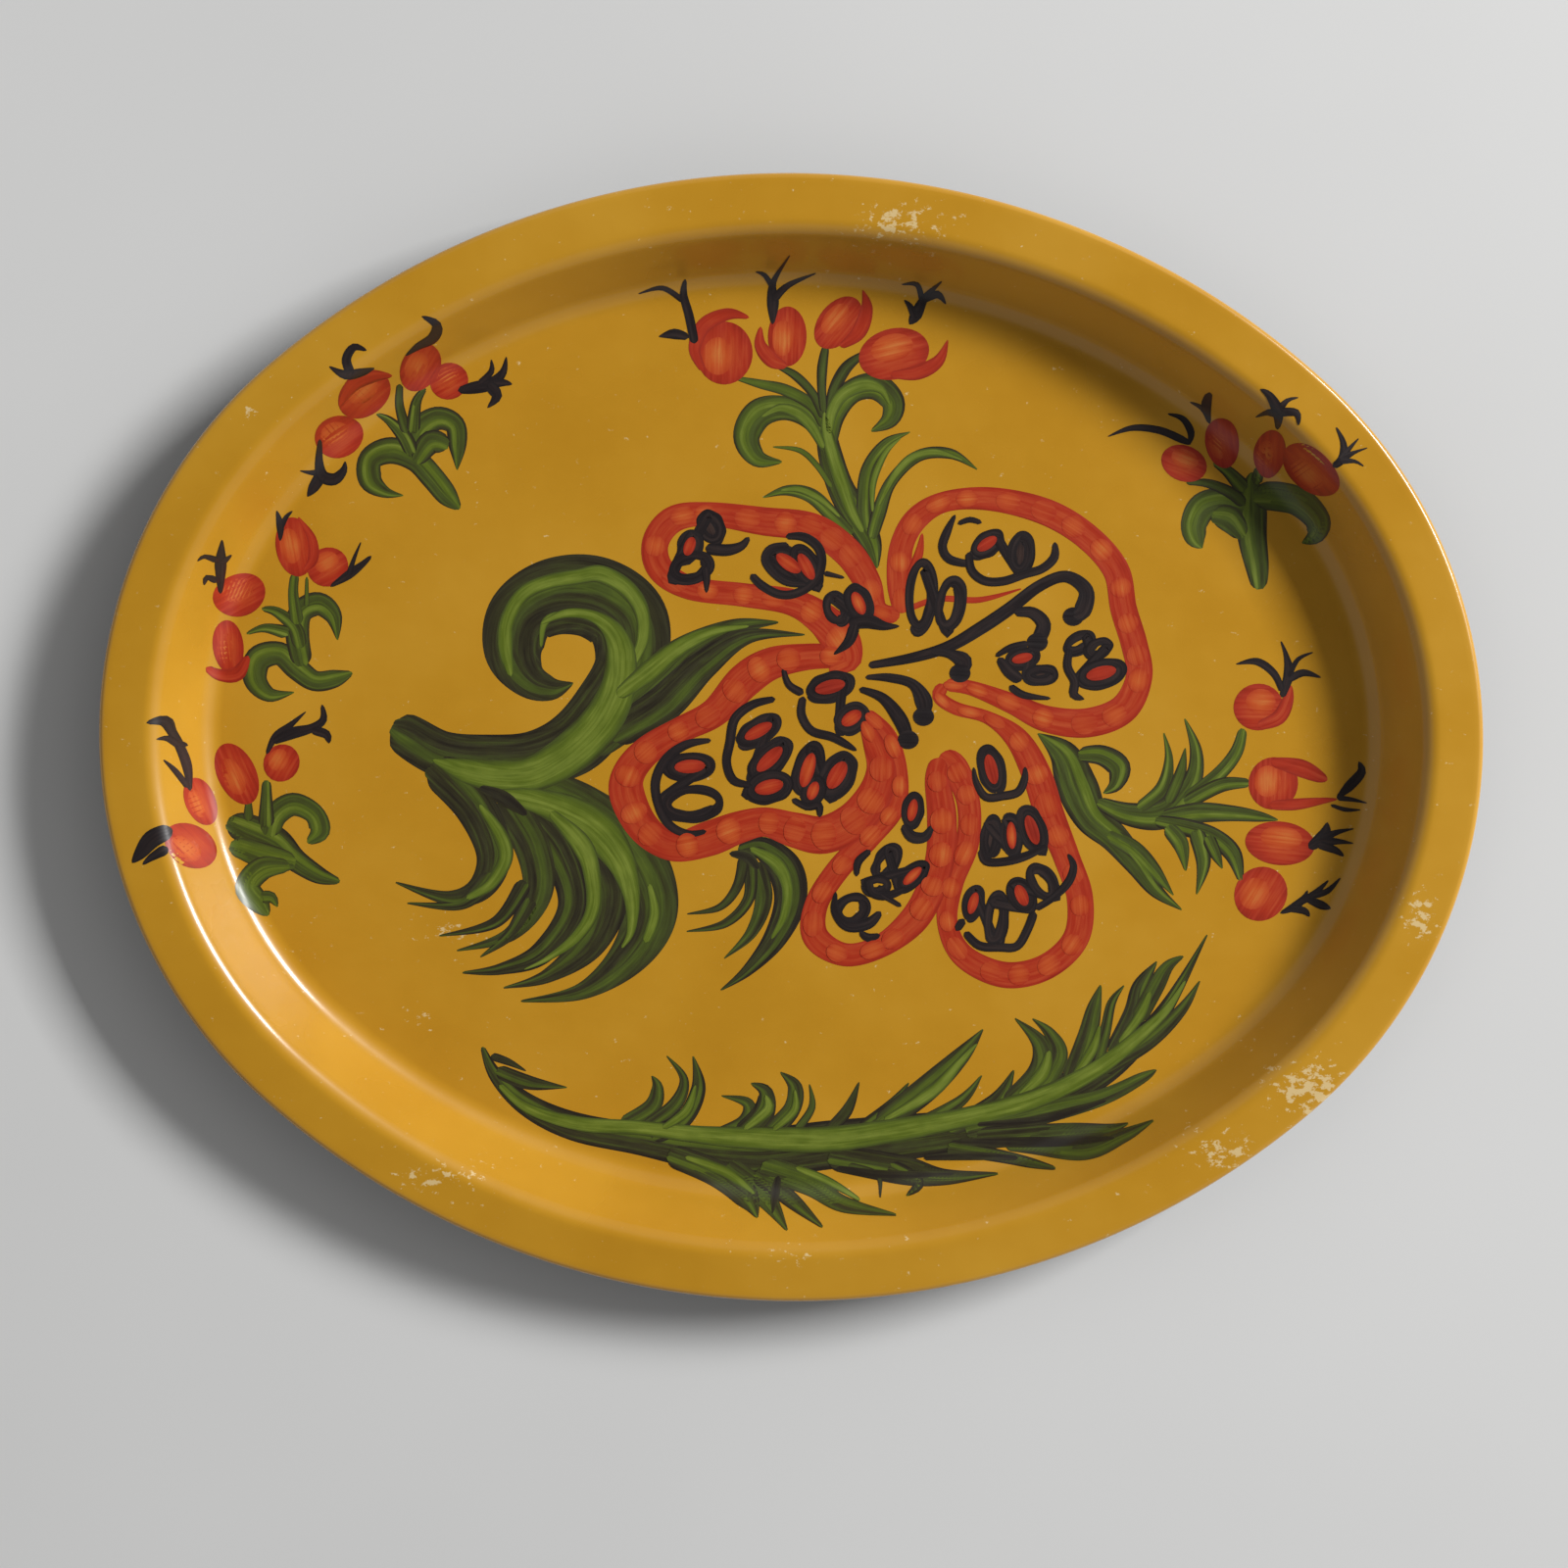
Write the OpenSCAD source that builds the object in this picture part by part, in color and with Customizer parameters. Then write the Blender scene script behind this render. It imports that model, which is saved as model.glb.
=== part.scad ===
// Hand-painted oval serving tray: a pressed sheet-steel pan with a wired edge, and raised paint on its face.
// It lies flat, 460 long and 376 wide. The origin is the centre of the underside of its floor, +X runs along
// its length, +Y toward the top of the painted picture, and +Z up, out of its open side.

/* [Plan] */
// Radius of the two end arcs of the rim
end_radius = 162.8; // [158:0.2:168]
// Spread of the arcs' centres: they lie 48 and 55 times this from the middle, and so 73 times this apart
spread = 1.4; // [1.3:0.05:1.5]

/* [Section] */
// Thickness of the steel sheet
sheet = 0.8; // [0.6:0.1:1.2]
// Height over all
tray_height = 24; // [20:1:28]
// Flat flange, from the outer edge of the rim to the start of the shoulder
flange_width = 14.5; // [13:0.5:16]
// Radius of the upper face of the shoulder, where the flange turns down into the wall
shoulder_radius = 7; // [5:0.5:8]
// Radius of the upper face of the cove, where the wall turns into the floor
cove_radius = 9; // [7:0.5:10]
// Slope of the wall above the floor, in degrees
wall_slope = 60; // [55:1:68]

/* [Wired edge] */
// Diameter of the stiffening wire
wire_d = 2.4; // [2:0.1:3]
// Gap between the wire and the curl around it
wire_gap = 0.05; // [0.02:0.01:0.1]
// Turn of the curl around the wire, in degrees
curl_turn = 270; // [200:10:280]

/* [Paint] */
// Thickness of a layer of paint
film = 0.2; // [0.1:0.05:0.3]
// Gap between two colours of paint
paint_gap = 0.1; // [0.05:0.05:0.2]

/* [Hidden] */

OCHRE = "#bb8526";
STEEL = "#8d9093";
RED = "#b8401f";
GREEN = "#56651f";
BLACK = "#231d1a";

// The rim is an oval of four arcs that meet in tangent: two end arcs and two flatter side arcs. Their
// centres make a right triangle of 48, 55 and 73 parts with the middle, so the arcs meet at exact lengths.
end_centre = 48 * spread;
side_centre = 55 * spread;
side_radius = end_radius + 73 * spread;
// Angle above +X at which an end arc hands over to a side arc
handover = atan2(side_centre, end_centre);

// The section, as distances in from the outer edge of the rim and heights above the ground
curl_radius = wire_d / 2 + wire_gap + sheet;
curl_height = tray_height - curl_radius;
shoulder_height = tray_height - shoulder_radius;
wall_top_inset = flange_width + shoulder_radius * sin(wall_slope);
wall_top_height = tray_height - shoulder_radius * (1 - cos(wall_slope));
wall_foot_height = sheet + cove_radius * (1 - cos(wall_slope));
wall_foot_inset = wall_top_inset + (wall_top_height - wall_foot_height) / tan(wall_slope);
floor_inset = wall_foot_inset + cove_radius * sin(wall_slope);

// The section is swept from the rim in to here, on the flat of the floor, and the floor's slab laps it
floor_edge = 44;
floor_lap = 2;

// Steps around the cove and the shoulder, and around the curl
bend_steps = 6;
curl_steps = 18;
arc_facets = 240;
wire_facets = 72;
// Steps along a brush stroke between two of its points
stroke_steps = 3;
// Sides of a painted oval
oval_sides = 18;

// ---------------------------------------------------------------- section

// Points along an arc: its centre, radius, first and last angle, and the steps between them
function arc(centre, radius, from, to, steps) = [
    for (i = [0 : steps])
        let (a = from + (to - from) * i / steps)
        centre + radius * [cos(a), sin(a)]
];

function reversed(v) = [for (i = [len(v) - 1 : -1 : 0]) v[i]];

// The face in section, raised by a distance: the edge of the floor, the cove, the wall and the shoulder.
// In every section x is minus the distance in from the rim's outer edge, so outside is on the right.
function face(rise) = concat(
    [[-floor_edge, sheet + rise]],
    arc([-floor_inset, sheet + cove_radius], cove_radius - rise, -90, wall_slope - 90, bend_steps),
    arc([-flange_width, shoulder_height], shoulder_radius + rise, 90 + wall_slope, 90, bend_steps)
);

// A sheet between two levels measured out from the face, as wide as the flat of the flange
module face_section(low, high) {
    flange_end = [
        [-curl_radius, tray_height + high],
        [-curl_radius, tray_height + low]
    ];
    polygon(concat(face(high), flange_end, reversed(face(low))));
}

// The steel sheet, with its edge turned down and under around the wire
module pan_section() {
    centre = [-curl_radius, curl_height];
    outer_curl = arc(centre, curl_radius, 90, 90 - curl_turn, curl_steps);
    inner_curl = arc(centre, curl_radius - sheet, 90 - curl_turn, 90, curl_steps);
    polygon(concat(face(0), outer_curl, inner_curl, reversed(face(-sheet))));
}

// ---------------------------------------------------------------- plan

// Sweeps a section around one arc: centre, radius, first angle and angle turned
module sweep_arc(centre, radius, start, turn) {
    translate(centre)
        rotate_extrude(angle = turn, start = start, $fn = arc_facets)
            translate([radius, 0])
                children();
}

// Sweeps a section around the whole oval
module sweep_oval() {
    end_turn = 2 * handover;
    side_turn = 180 - end_turn;
    sweep_arc([end_centre, 0], end_radius, -handover, end_turn) children();
    sweep_arc([0, -side_centre], side_radius, handover, side_turn) children();
    sweep_arc([-end_centre, 0], end_radius, 180 - handover, end_turn) children();
    sweep_arc([0, side_centre], side_radius, 180 + handover, side_turn) children();
}

// A slice of a disc, pointed at the disc's centre
module pie(centre, radius, start, turn) {
    reach = 2 * radius / cos(turn / 4);
    translate(centre)
        intersection() {
            circle(radius, $fn = arc_facets);
            polygon([
                [0, 0],
                reach * [cos(start), sin(start)],
                reach * [cos(start + turn / 2), sin(start + turn / 2)],
                reach * [cos(start + turn), sin(start + turn)]
            ]);
        }
}

// The filled oval at a distance in from the outer edge
module oval(inset) {
    end_turn = 2 * handover;
    side_turn = 180 - end_turn;
    pie([end_centre, 0], end_radius - inset, -handover, end_turn);
    pie([0, -side_centre], side_radius - inset, handover, side_turn);
    pie([-end_centre, 0], end_radius - inset, 180 - handover, end_turn);
    pie([0, side_centre], side_radius - inset, 180 + handover, side_turn);
}

// The flat of the floor, between two levels measured up from its upper face. It laps the swept section.
module floor_slab(low, high) {
    translate([0, 0, sheet + low])
        linear_extrude(high - low)
            offset(delta = floor_lap)
                oval(floor_edge);
}

module tray_pan() {
    color(OCHRE) {
        floor_slab(-sheet, 0);
        sweep_oval() pan_section();
    }
}

module rim_wire() {
    color(STEEL)
        sweep_oval()
            translate([-curl_radius, curl_height])
                circle(wire_d / 2, $fn = wire_facets);
}

// ---------------------------------------------------------------- brushwork

// A point on the smooth curve through points p, a fraction t of the way from point i to the next
function curve_point(p, i, t) =
    let (
        before = p[max(i - 1, 0)],
        here = p[i],
        next = p[i + 1],
        after = p[min(i + 2, len(p) - 1)]
    )
    (2 * here + (next - before) * t
        + (2 * before - 5 * here + 4 * next - after) * pow(t, 2)
        + (3 * here - before - 3 * next + after) * pow(t, 3)) / 2;

function curve(p) = [
    for (i = [0 : len(p) - 2])
        for (s = [0 : stroke_steps - 1])
            curve_point(p, i, s / stroke_steps),
    p[len(p) - 1]
];

// One edge of a brush stroke: c holds [x, y, width] along its middle, and side is 1 or -1
function stroke_edge(c, side) = [
    for (i = [0 : len(c) - 1])
        let (
            along = c[min(i + 1, len(c) - 1)] - c[max(i - 1, 0)],
            across = [-along[1], along[0]] / norm([along[0], along[1]])
        )
        [c[i][0], c[i][1]] + side * c[i][2] / 2 * across
];

// A brush stroke through points [x, y, width], where the width is how hard the brush was pressed
module stroke(p) {
    c = curve(p);
    polygon(concat(stroke_edge(c, 1), reversed(stroke_edge(c, -1))));
}

module strokes(list) {
    for (p = list) stroke(p);
}

function oval_points(x, y, long, wide, turn) = [
    for (i = [0 : oval_sides - 1])
        let (a = 360 * i / oval_sides, u = long * cos(a), v = wide * sin(a))
        [x + u * cos(turn) - v * sin(turn), y + u * sin(turn) + v * cos(turn)]
];

// Ovals as [x, y, half length, half width, turn]
module ovals(list) {
    for (o = list) polygon(oval_points(o[0], o[1], o[2], o[3], o[4]));
}

// Seeds as looped strokes: an oval outline of the given brush width
module loops(list, brush) {
    for (o = list)
        difference() {
            polygon(oval_points(o[0], o[1], o[2], o[3], o[4]));
            polygon(oval_points(o[0], o[1], o[2] - brush, o[3] - brush, o[4]));
        }
}

// One clean outline around all that is painted in one colour, clear of the colours beside it
module painted() {
    offset(delta = -paint_gap / 2) children();
}

// Paint on the flat floor
module on_floor() {
    translate([0, 0, sheet])
        linear_extrude(film)
            painted() children();
}

// Paint that follows the floor, the cove, the wall and the flange
module on_tray() {
    intersection() {
        union() {
            floor_slab(0, film);
            sweep_oval() face_section(0, film);
        }
        linear_extrude(tray_height + 2 * film) painted() children();
    }
}

// Green leaves, cut back to where the buds and sprigs lie over them
module leaf_paint(leaves, buds, petals, sprigs) {
    color(GREEN)
        on_tray()
            difference() {
                strokes(leaves);
                ovals(buds);
                strokes(petals);
                strokes(sprigs);
            }
}

// Orange-red buds, cut back to where the sprigs lie over them
module bud_paint(buds, petals, sprigs) {
    color(RED)
        on_tray()
            difference() {
                union() {
                    ovals(buds);
                    strokes(petals);
                }
                strokes(sprigs);
            }
}

module sprig_paint(sprigs) {
    color(BLACK) on_tray() strokes(sprigs);
}

// ---------------------------------------------------------------- top bouquet

top_buds = [
    [-26, 130, 10.5, 9.5, 90],
    [-5, 136, 10, 6.5, 90],
    [12, 141, 10, 6.5, 52],
    [31, 131, 12, 8.5, 15]
];
top_petals = [
    [[-18, 142, 1], [-25, 143, 4], [-33, 139, 5], [-36, 131, 4], [-33, 124, 2]],
    [[-14, 139, 1], [-14, 133, 4], [-10, 128, 5], [-5, 126, 2]],
    [[20, 152, 0.5], [21.5, 146, 4], [19, 138, 5], [13, 133, 2]],
    [[49, 136, 0.5], [46, 129, 4], [39, 125, 5], [30, 124, 2]]
];
top_leaves = [
    [[27, 59, 1], [25, 67, 7], [20, 76, 10], [14, 86, 9], [10, 98, 8], [8, 110, 5], [7, 114, 2]],
    [[9, 98, 6], [11, 110, 8], [17, 118, 8], [25, 120, 9], [31, 115, 8], [30, 109, 6], [24, 105, 1]],
    [[10, 98, 5], [4, 108, 7], [-5, 112, 8], [-14, 110, 10], [-18, 102, 9], [-14, 95, 6], [-6, 94, 1]],
    [[-23, 122, 1], [-14, 120, 3], [-5, 118, 4], [4, 113, 4], [8, 106, 3]],
    [[-8, 126, 1.5], [-2, 123, 3], [4, 117, 3], [8, 109, 3]],
    [[8, 133, 2.5], [7, 126, 3.5], [7, 118, 3], [8, 111, 3]],
    [[21, 131, 2], [15, 126, 4], [11, 118, 4], [10, 110, 3]],
    [[-12, 82, 0.5], [-4, 84.5, 3.5], [4, 83, 5], [11, 77, 5], [18, 70, 4]],
    [[-9, 99, 0.5], [0, 98, 1.8], [6, 93, 2], [11, 86, 2]],
    [[37, 105, 0.4], [29, 101, 3.5], [23, 92, 4.5], [22, 80, 5], [23, 72, 5]],
    [[60, 93, 0.4], [51, 98, 3.5], [40, 97, 4], [31, 88, 4], [27, 77, 5], [25, 69, 4]]
];
top_sprigs = [
    [[-36, 133, 3], [-38, 142, 3], [-40, 149, 2.5], [-39.5, 154, 1]],
    [[-38, 135, 2], [-43, 136, 3.5], [-48, 135, 0.5]],
    [[-40, 147, 2], [-47, 151, 1.6], [-55, 149, 0.4]],
    [[-10, 140, 1], [-10, 147, 4], [-10, 154, 2], [-5, 162, 0.4]],
    [[-10, 148, 3], [-5, 153, 2], [4, 157, 0.4]],
    [[-10, 152, 2], [-13, 156, 1.5], [-16, 157, 0.4]],
    [[36, 141, 1], [38, 144, 4], [41, 150, 2.5], [46, 155, 0.5]],
    [[38, 143, 3], [36, 147, 2], [34, 149, 0.5]],
    [[40, 149, 2.5], [45, 151, 2.5], [48, 148, 0.5]],
    [[40, 149, 2], [38, 154, 1.6], [33, 154, 0.4]]
];

module top_bouquet_buds() { bud_paint(top_buds, top_petals, top_sprigs); }
module top_bouquet_leaves() { leaf_paint(top_leaves, top_buds, top_petals, top_sprigs); }
module top_bouquet_sprigs() { sprig_paint(top_sprigs); }

// ---------------------------------------------------------------- upper left bouquet

upper_left_ovals = [
    [-154, 99, 8, 6.5, 35],
    [-145, 113, 9.5, 6, 42],
    [-127, 122.5, 8.5, 5.5, 55],
    [-118, 118.5, 6.5, 6, 30]
];
upper_left_petals = [
    [[-153, 109, 1], [-148, 116, 4], [-142, 119, 4], [-136, 119.5, 1]]
];
upper_left_greens = [
    [[-114, 76, 2], [-118, 80, 7], [-123, 86, 8], [-129, 92, 8], [-137, 95, 9], [-144, 92, 8],
        [-144, 85, 8], [-139, 81, 4], [-133, 80, 0.5]],
    [[-128, 92, 7], [-128, 101, 9], [-122, 106, 8], [-116, 104, 7], [-115, 97, 6], [-115, 89, 0.5]],
    [[-129, 91, 5], [-124, 98, 8], [-118, 97, 6]],
    [[-142, 107, 1], [-138, 105, 3], [-133, 100, 5], [-130, 94, 5]],
    [[-134, 117, 2], [-134.5, 110, 3], [-132, 101, 4]],
    [[-126, 116, 1.5], [-129, 111, 3.5], [-130, 101, 5]]
];
upper_left_twigs = [
    [[-160, 98, 1], [-161, 91, 2.5], [-160, 86, 4], [-156, 85, 4], [-153, 88, 2.5], [-152.5, 91, 0.5]],
    [[-160, 87, 3], [-164, 87, 1.5], [-167, 87.5, 0.4]],
    [[-160, 87, 4], [-163, 82, 3.5], [-165, 79, 0.6]],
    [[-155, 121.5, 0.5], [-150, 119, 3], [-145, 120, 2.5], [-141, 121.5, 0.5]],
    [[-148, 119, 3], [-149.5, 124, 3], [-147, 128, 2.5], [-143, 127, 0.8]],
    [[-131, 126, 0.5], [-127, 129, 2], [-122, 132, 3], [-120.5, 136, 3], [-125, 138.5, 0.8]],
    [[-115, 115.5, 2], [-110, 116.5, 4], [-104, 118, 4], [-100, 122, 2.5], [-99, 127, 0.5]],
    [[-108, 118, 2], [-104, 122, 2], [-104, 126, 0.4]],
    [[-105, 118, 4], [-100, 118.5, 2.5], [-97, 118, 0.8]],
    [[-105, 118, 4], [-102, 114, 3.5], [-105, 110, 0.6]]
];

module upper_left_buds() { bud_paint(upper_left_ovals, upper_left_petals, upper_left_twigs); }
module upper_left_leaves() {
    leaf_paint(upper_left_greens, upper_left_ovals, upper_left_petals, upper_left_twigs);
}
module upper_left_sprigs() { sprig_paint(upper_left_twigs); }

// ---------------------------------------------------------------- middle left bouquet

middle_left_ovals = [
    [-187, 45.5, 8.5, 7, 30],
    [-191, 28, 9, 5, 95],
    [-169, 62, 10, 6.5, 100],
    [-158, 55.5, 7, 6.5, 30]
];
middle_left_petals = [
    [[-198, 21, 2], [-194, 18.5, 4], [-188, 19, 5], [-184.5, 25, 2]],
    [[-168, 72, 0.5], [-163.5, 65, 3], [-163, 58, 3.5], [-166, 54, 1]]
];
middle_left_greens = [
    [[-149.5, 20, 1.5], [-155, 18, 6], [-162, 17, 7], [-168, 21, 8], [-174, 26, 8], [-181, 24, 9],
        [-182, 17, 8], [-177, 12, 5], [-169, 13, 0.5]],
    [[-166, 22, 7], [-168, 32, 8], [-167, 40, 8], [-161, 43, 8], [-156, 39, 6], [-154.5, 31, 0.6]],
    [[-180, 41, 1.5], [-175, 40, 3.5], [-169, 35, 5], [-167, 28, 5]],
    [[-185, 32.5, 1], [-179, 34.5, 3], [-171, 33, 5]],
    [[-169, 53, 3], [-169.5, 46, 3.5], [-168, 36, 5]],
    [[-165, 52, 1], [-165, 47, 1.4], [-165, 42, 2]]
];
middle_left_twigs = [
    [[-193, 46, 1], [-192.5, 52, 2.5], [-192, 57, 3], [-191, 64, 0.5]],
    [[-192.5, 57, 2.5], [-196, 58.5, 1.5], [-198, 57, 0.4]],
    [[-192, 56, 2], [-190, 58, 1.2], [-189, 59, 0.4]],
    [[-193, 50, 2.5], [-196, 51.5, 1.8], [-197, 49, 0.5]],
    [[-174, 64, 0.8], [-174, 69, 2.5], [-175, 74, 0.6]],
    [[-174, 68, 2], [-172, 72, 1.5], [-170, 74, 0.5]],
    [[-157, 49, 1], [-151, 53, 3], [-146, 57, 2], [-143.5, 59.5, 1]],
    [[-151, 53, 2], [-149, 59, 1.2], [-147, 64, 0.4]]
];

module middle_left_buds() { bud_paint(middle_left_ovals, middle_left_petals, middle_left_twigs); }
module middle_left_leaves() {
    leaf_paint(middle_left_greens, middle_left_ovals, middle_left_petals, middle_left_twigs);
}
module middle_left_sprigs() { sprig_paint(middle_left_twigs); }

// ---------------------------------------------------------------- lower left bouquet

lower_left_ovals = [
    [-188, -15, 11, 6.5, 115],
    [-173, -11, 6.5, 6, 60],
    [-199, -24, 8.5, 4, 110],
    [-201, -38, 9, 5.5, 130]
];
lower_left_petals = [];
lower_left_greens = [
    [[-153, -51, 2], [-160, -49, 6], [-168, -44, 8], [-175, -38, 11], [-184, -34, 11], [-191, -31, 7]],
    [[-177, -36, 7], [-175, -29, 8], [-169, -25, 8], [-162, -28, 7], [-160, -34, 7], [-164, -38, 2]],
    [[-178, -17, 3], [-178, -23, 4], [-178, -33, 6]],
    [[-168, -45, 6], [-178, -43, 9], [-190, -39, 6]],
    [[-170, -46, 4], [-179, -47, 8], [-184, -53, 8], [-180, -59, 7], [-177, -63, 2]],
    [[-180, -57, 5], [-176, -57, 4], [-174, -60, 0.8]],
    [[-184, -24, 2], [-184, -31, 4]]
];
lower_left_twigs = [
    [[-202, -20, 1], [-203, -12, 2.5], [-205, -5, 2.5], [-207, 0, 2.5], [-209, 4, 3.5], [-214, 3.5, 1]],
    [[-205, -5, 2], [-208, -2, 2], [-211, -2, 0.5]],
    [[-205, -4, 2.5], [-203, -5, 0.8]],
    [[-209, -9, 0.4], [-206, -13, 1.5], [-202.5, -19, 1.5]],
    [[-178, -8, 1], [-175, -2, 2.5], [-170, 2, 2], [-165, 6.5, 0.4]],
    [[-176, -4, 2], [-170, -1, 4], [-163, 1, 3], [-159, 4, 2.5], [-159.5, 9, 1]],
    [[-163, 0.5, 3], [-158, -1, 3], [-157, -4, 1]],
    [[-206, -32, 5], [-212, -35, 6], [-216, -40, 4], [-218.5, -43, 0.8]],
    [[-207, -38, 4], [-212, -41, 2.5], [-215, -43.5, 0.8]]
];

module lower_left_buds() { bud_paint(lower_left_ovals, lower_left_petals, lower_left_twigs); }
module lower_left_leaves() {
    leaf_paint(lower_left_greens, lower_left_ovals, lower_left_petals, lower_left_twigs);
}
module lower_left_sprigs() { sprig_paint(lower_left_twigs); }

// ---------------------------------------------------------------- upper right bouquet

upper_right_ovals = [
    [130, 96.5, 8, 6, -20],
    [142.5, 103.5, 8.5, 5.5, 105],
    [157.5, 100, 8, 4.5, 100],
    [170, 95, 11, 5.5, 135]
];
upper_right_petals = [];
upper_right_greens = [
    [[157, 54.5, 5], [156, 62, 8], [154, 72, 10], [153, 82, 11], [153, 90, 6], [153, 94, 1]],
    [[151, 82, 9], [144, 84, 9], [137, 82, 10], [134, 76, 9], [135, 71, 7], [137, 68, 1]],
    [[140, 79, 6], [146, 78, 9], [151, 72, 5]],
    [[154, 86, 9], [162, 86, 10], [169, 84, 9], [175, 78, 7], [175, 73, 6], [171, 70.5, 0.8]],
    [[131, 90, 1.5], [138, 90, 3], [146, 87, 4], [151, 83, 4]],
    [[140, 97, 2], [145, 94, 4], [151, 88, 6]],
    [[155, 96, 2], [155, 90, 5]]
];
upper_right_twigs = [
    [[104, 105, 0.4], [112, 108, 2], [121, 107.5, 2.5], [129, 104.5, 2.5], [132, 103, 1]],
    [[124, 113, 0.6], [129, 111.5, 2], [132, 107, 2.5], [131.5, 103, 1]],
    [[131, 117, 0.5], [135, 115, 1.5], [138, 111, 1.5]],
    [[136, 120, 2], [136, 116, 3], [138, 110, 1]],
    [[151, 121, 0.8], [154, 119, 2.5], [157, 114, 3.5], [158, 108, 1]],
    [[163.5, 118.5, 0.5], [160, 117.5, 1.5], [157, 114, 3]],
    [[164, 109.5, 0.8], [163, 113.5, 2.5], [157, 113.5, 3]],
    [[151, 112, 0.5], [154, 113.5, 2], [157, 113, 3]],
    [[176, 96, 2], [179, 99, 3], [179, 104, 2], [176.5, 109, 0.6]],
    [[178, 98, 3], [181, 102, 1.5], [184, 105.5, 0.4]],
    [[179, 99, 3], [183, 101, 1.2], [187, 102.5, 0.4]],
    [[178, 98, 2.5], [183, 98, 1.2], [186, 96.5, 0.4]]
];

module upper_right_buds() { bud_paint(upper_right_ovals, upper_right_petals, upper_right_twigs); }
module upper_right_leaves() {
    leaf_paint(upper_right_greens, upper_right_ovals, upper_right_petals, upper_right_twigs);
}
module upper_right_sprigs() { sprig_paint(upper_right_twigs); }

// ---------------------------------------------------------------- right bouquet

right_ovals = [
    [158, 14.5, 8.5, 8, 0],
    [164, -11.5, 9, 8.5, 90],
    [167, -32, 12, 7.5, -5],
    [161, -49.5, 9.5, 9, 60]
];
right_petals = [
    [[158, 8, 3], [165, 11, 5], [168, 17, 4], [169, 22, 0.8]],
    [[163, -4, 3], [173, -6, 6], [180, -9, 4], [182.5, -10, 1]],
    [[163, -19, 3], [172, -18.5, 4], [182, -17, 2], [186, -16.5, 0.5]]
];
right_greens = [
    [[83, 4, 0.6], [92, -3, 10], [97, -14, 14], [102, -24, 12], [110, -31, 10], [118, -40, 8],
        [125, -49, 5], [134, -55.5, 0.6]],
    [[108, -30, 5], [117, -35, 6], [124, -42, 5], [131, -50.5, 0.5]],
    [[97, -3, 5], [105, -3, 7], [111, -7, 8], [110, -13, 5], [106, -16, 0.8]],
    [[104, -19, 4], [115, -23, 8], [126, -23, 10], [133, -17, 9], [137, -9, 6], [137, 0, 4],
        [133, 10, 0.6]],
    [[118, -21, 4], [126, -14, 5], [128, -4, 3], [126, 5, 0.5]],
    [[128, -19, 4], [132, -9, 4], [133.5, 0, 0.5]],
    [[134, -18, 5], [145, -9, 5], [151, -1, 4.5], [153, 7, 3]],
    [[134, -19, 5], [146, -12.5, 5], [156, -11.5, 3]],
    [[126, -24, 5], [138, -22, 7], [150, -22, 5.5], [160, -23, 3.5], [166, -24, 0.6]],
    [[124, -25, 4], [134, -27, 6], [144, -30, 6], [151, -36, 6], [154, -45, 2]],
    [[128, -27, 5], [133, -33, 5.5], [135, -42, 0.8]],
    [[138, -28, 6], [141, -39, 5], [139, -50, 0.6]],
    [[142, -30, 5], [145, -36, 4], [147.5, -41, 0.5]]
];
right_twigs = [
    [[166, 18, 2], [168, 26, 3.5], [167, 32, 1.8], [165, 37, 0.5]],
    [[166, 20, 2], [163, 26, 2.5], [157, 30, 2.5], [150, 29, 0.5]],
    [[168, 24, 2.5], [173, 26.5, 2.5], [179, 25, 0.6]],
    [[168, 25, 2], [171, 31, 1.5], [176, 33.5, 0.5]],
    [[186, -16, 1], [190, -12, 3.5], [194, -7, 3], [193, -3.5, 1]],
    [[186, -16, 2], [191, -16.5, 1.5], [196, -17.5, 0.4]],
    [[184, -18.5, 1], [189, -20, 1.5], [194, -20, 0.4]],
    [[177, -33.5, 3], [182, -29, 4.5], [183, -24.5, 0.8]],
    [[180, -31, 4], [186, -28, 2], [192, -26.5, 0.4]],
    [[180, -31, 4], [187, -31, 2], [192, -31.5, 0.4]],
    [[180, -32, 3], [186, -34, 2.5], [189, -36, 0.8]],
    [[168, -56, 1], [173, -53.5, 3], [176, -50.5, 2], [177, -48, 0.5]],
    [[171, -54.5, 2], [176, -55, 2.5], [178, -57, 0.8]],
    [[173, -53, 2], [179, -49.5, 2.5], [184, -44.5, 0.6]],
    [[179, -50, 2], [184, -48, 2], [188, -43.5, 0.5]],
    [[177, -51, 2], [182, -53, 3], [185, -54, 0.8]]
];

module right_bouquet_buds() { bud_paint(right_ovals, right_petals, right_twigs); }
module right_bouquet_leaves() { leaf_paint(right_greens, right_ovals, right_petals, right_twigs); }
module right_bouquet_sprigs() { sprig_paint(right_twigs); }

// ---------------------------------------------------------------- flower

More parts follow.
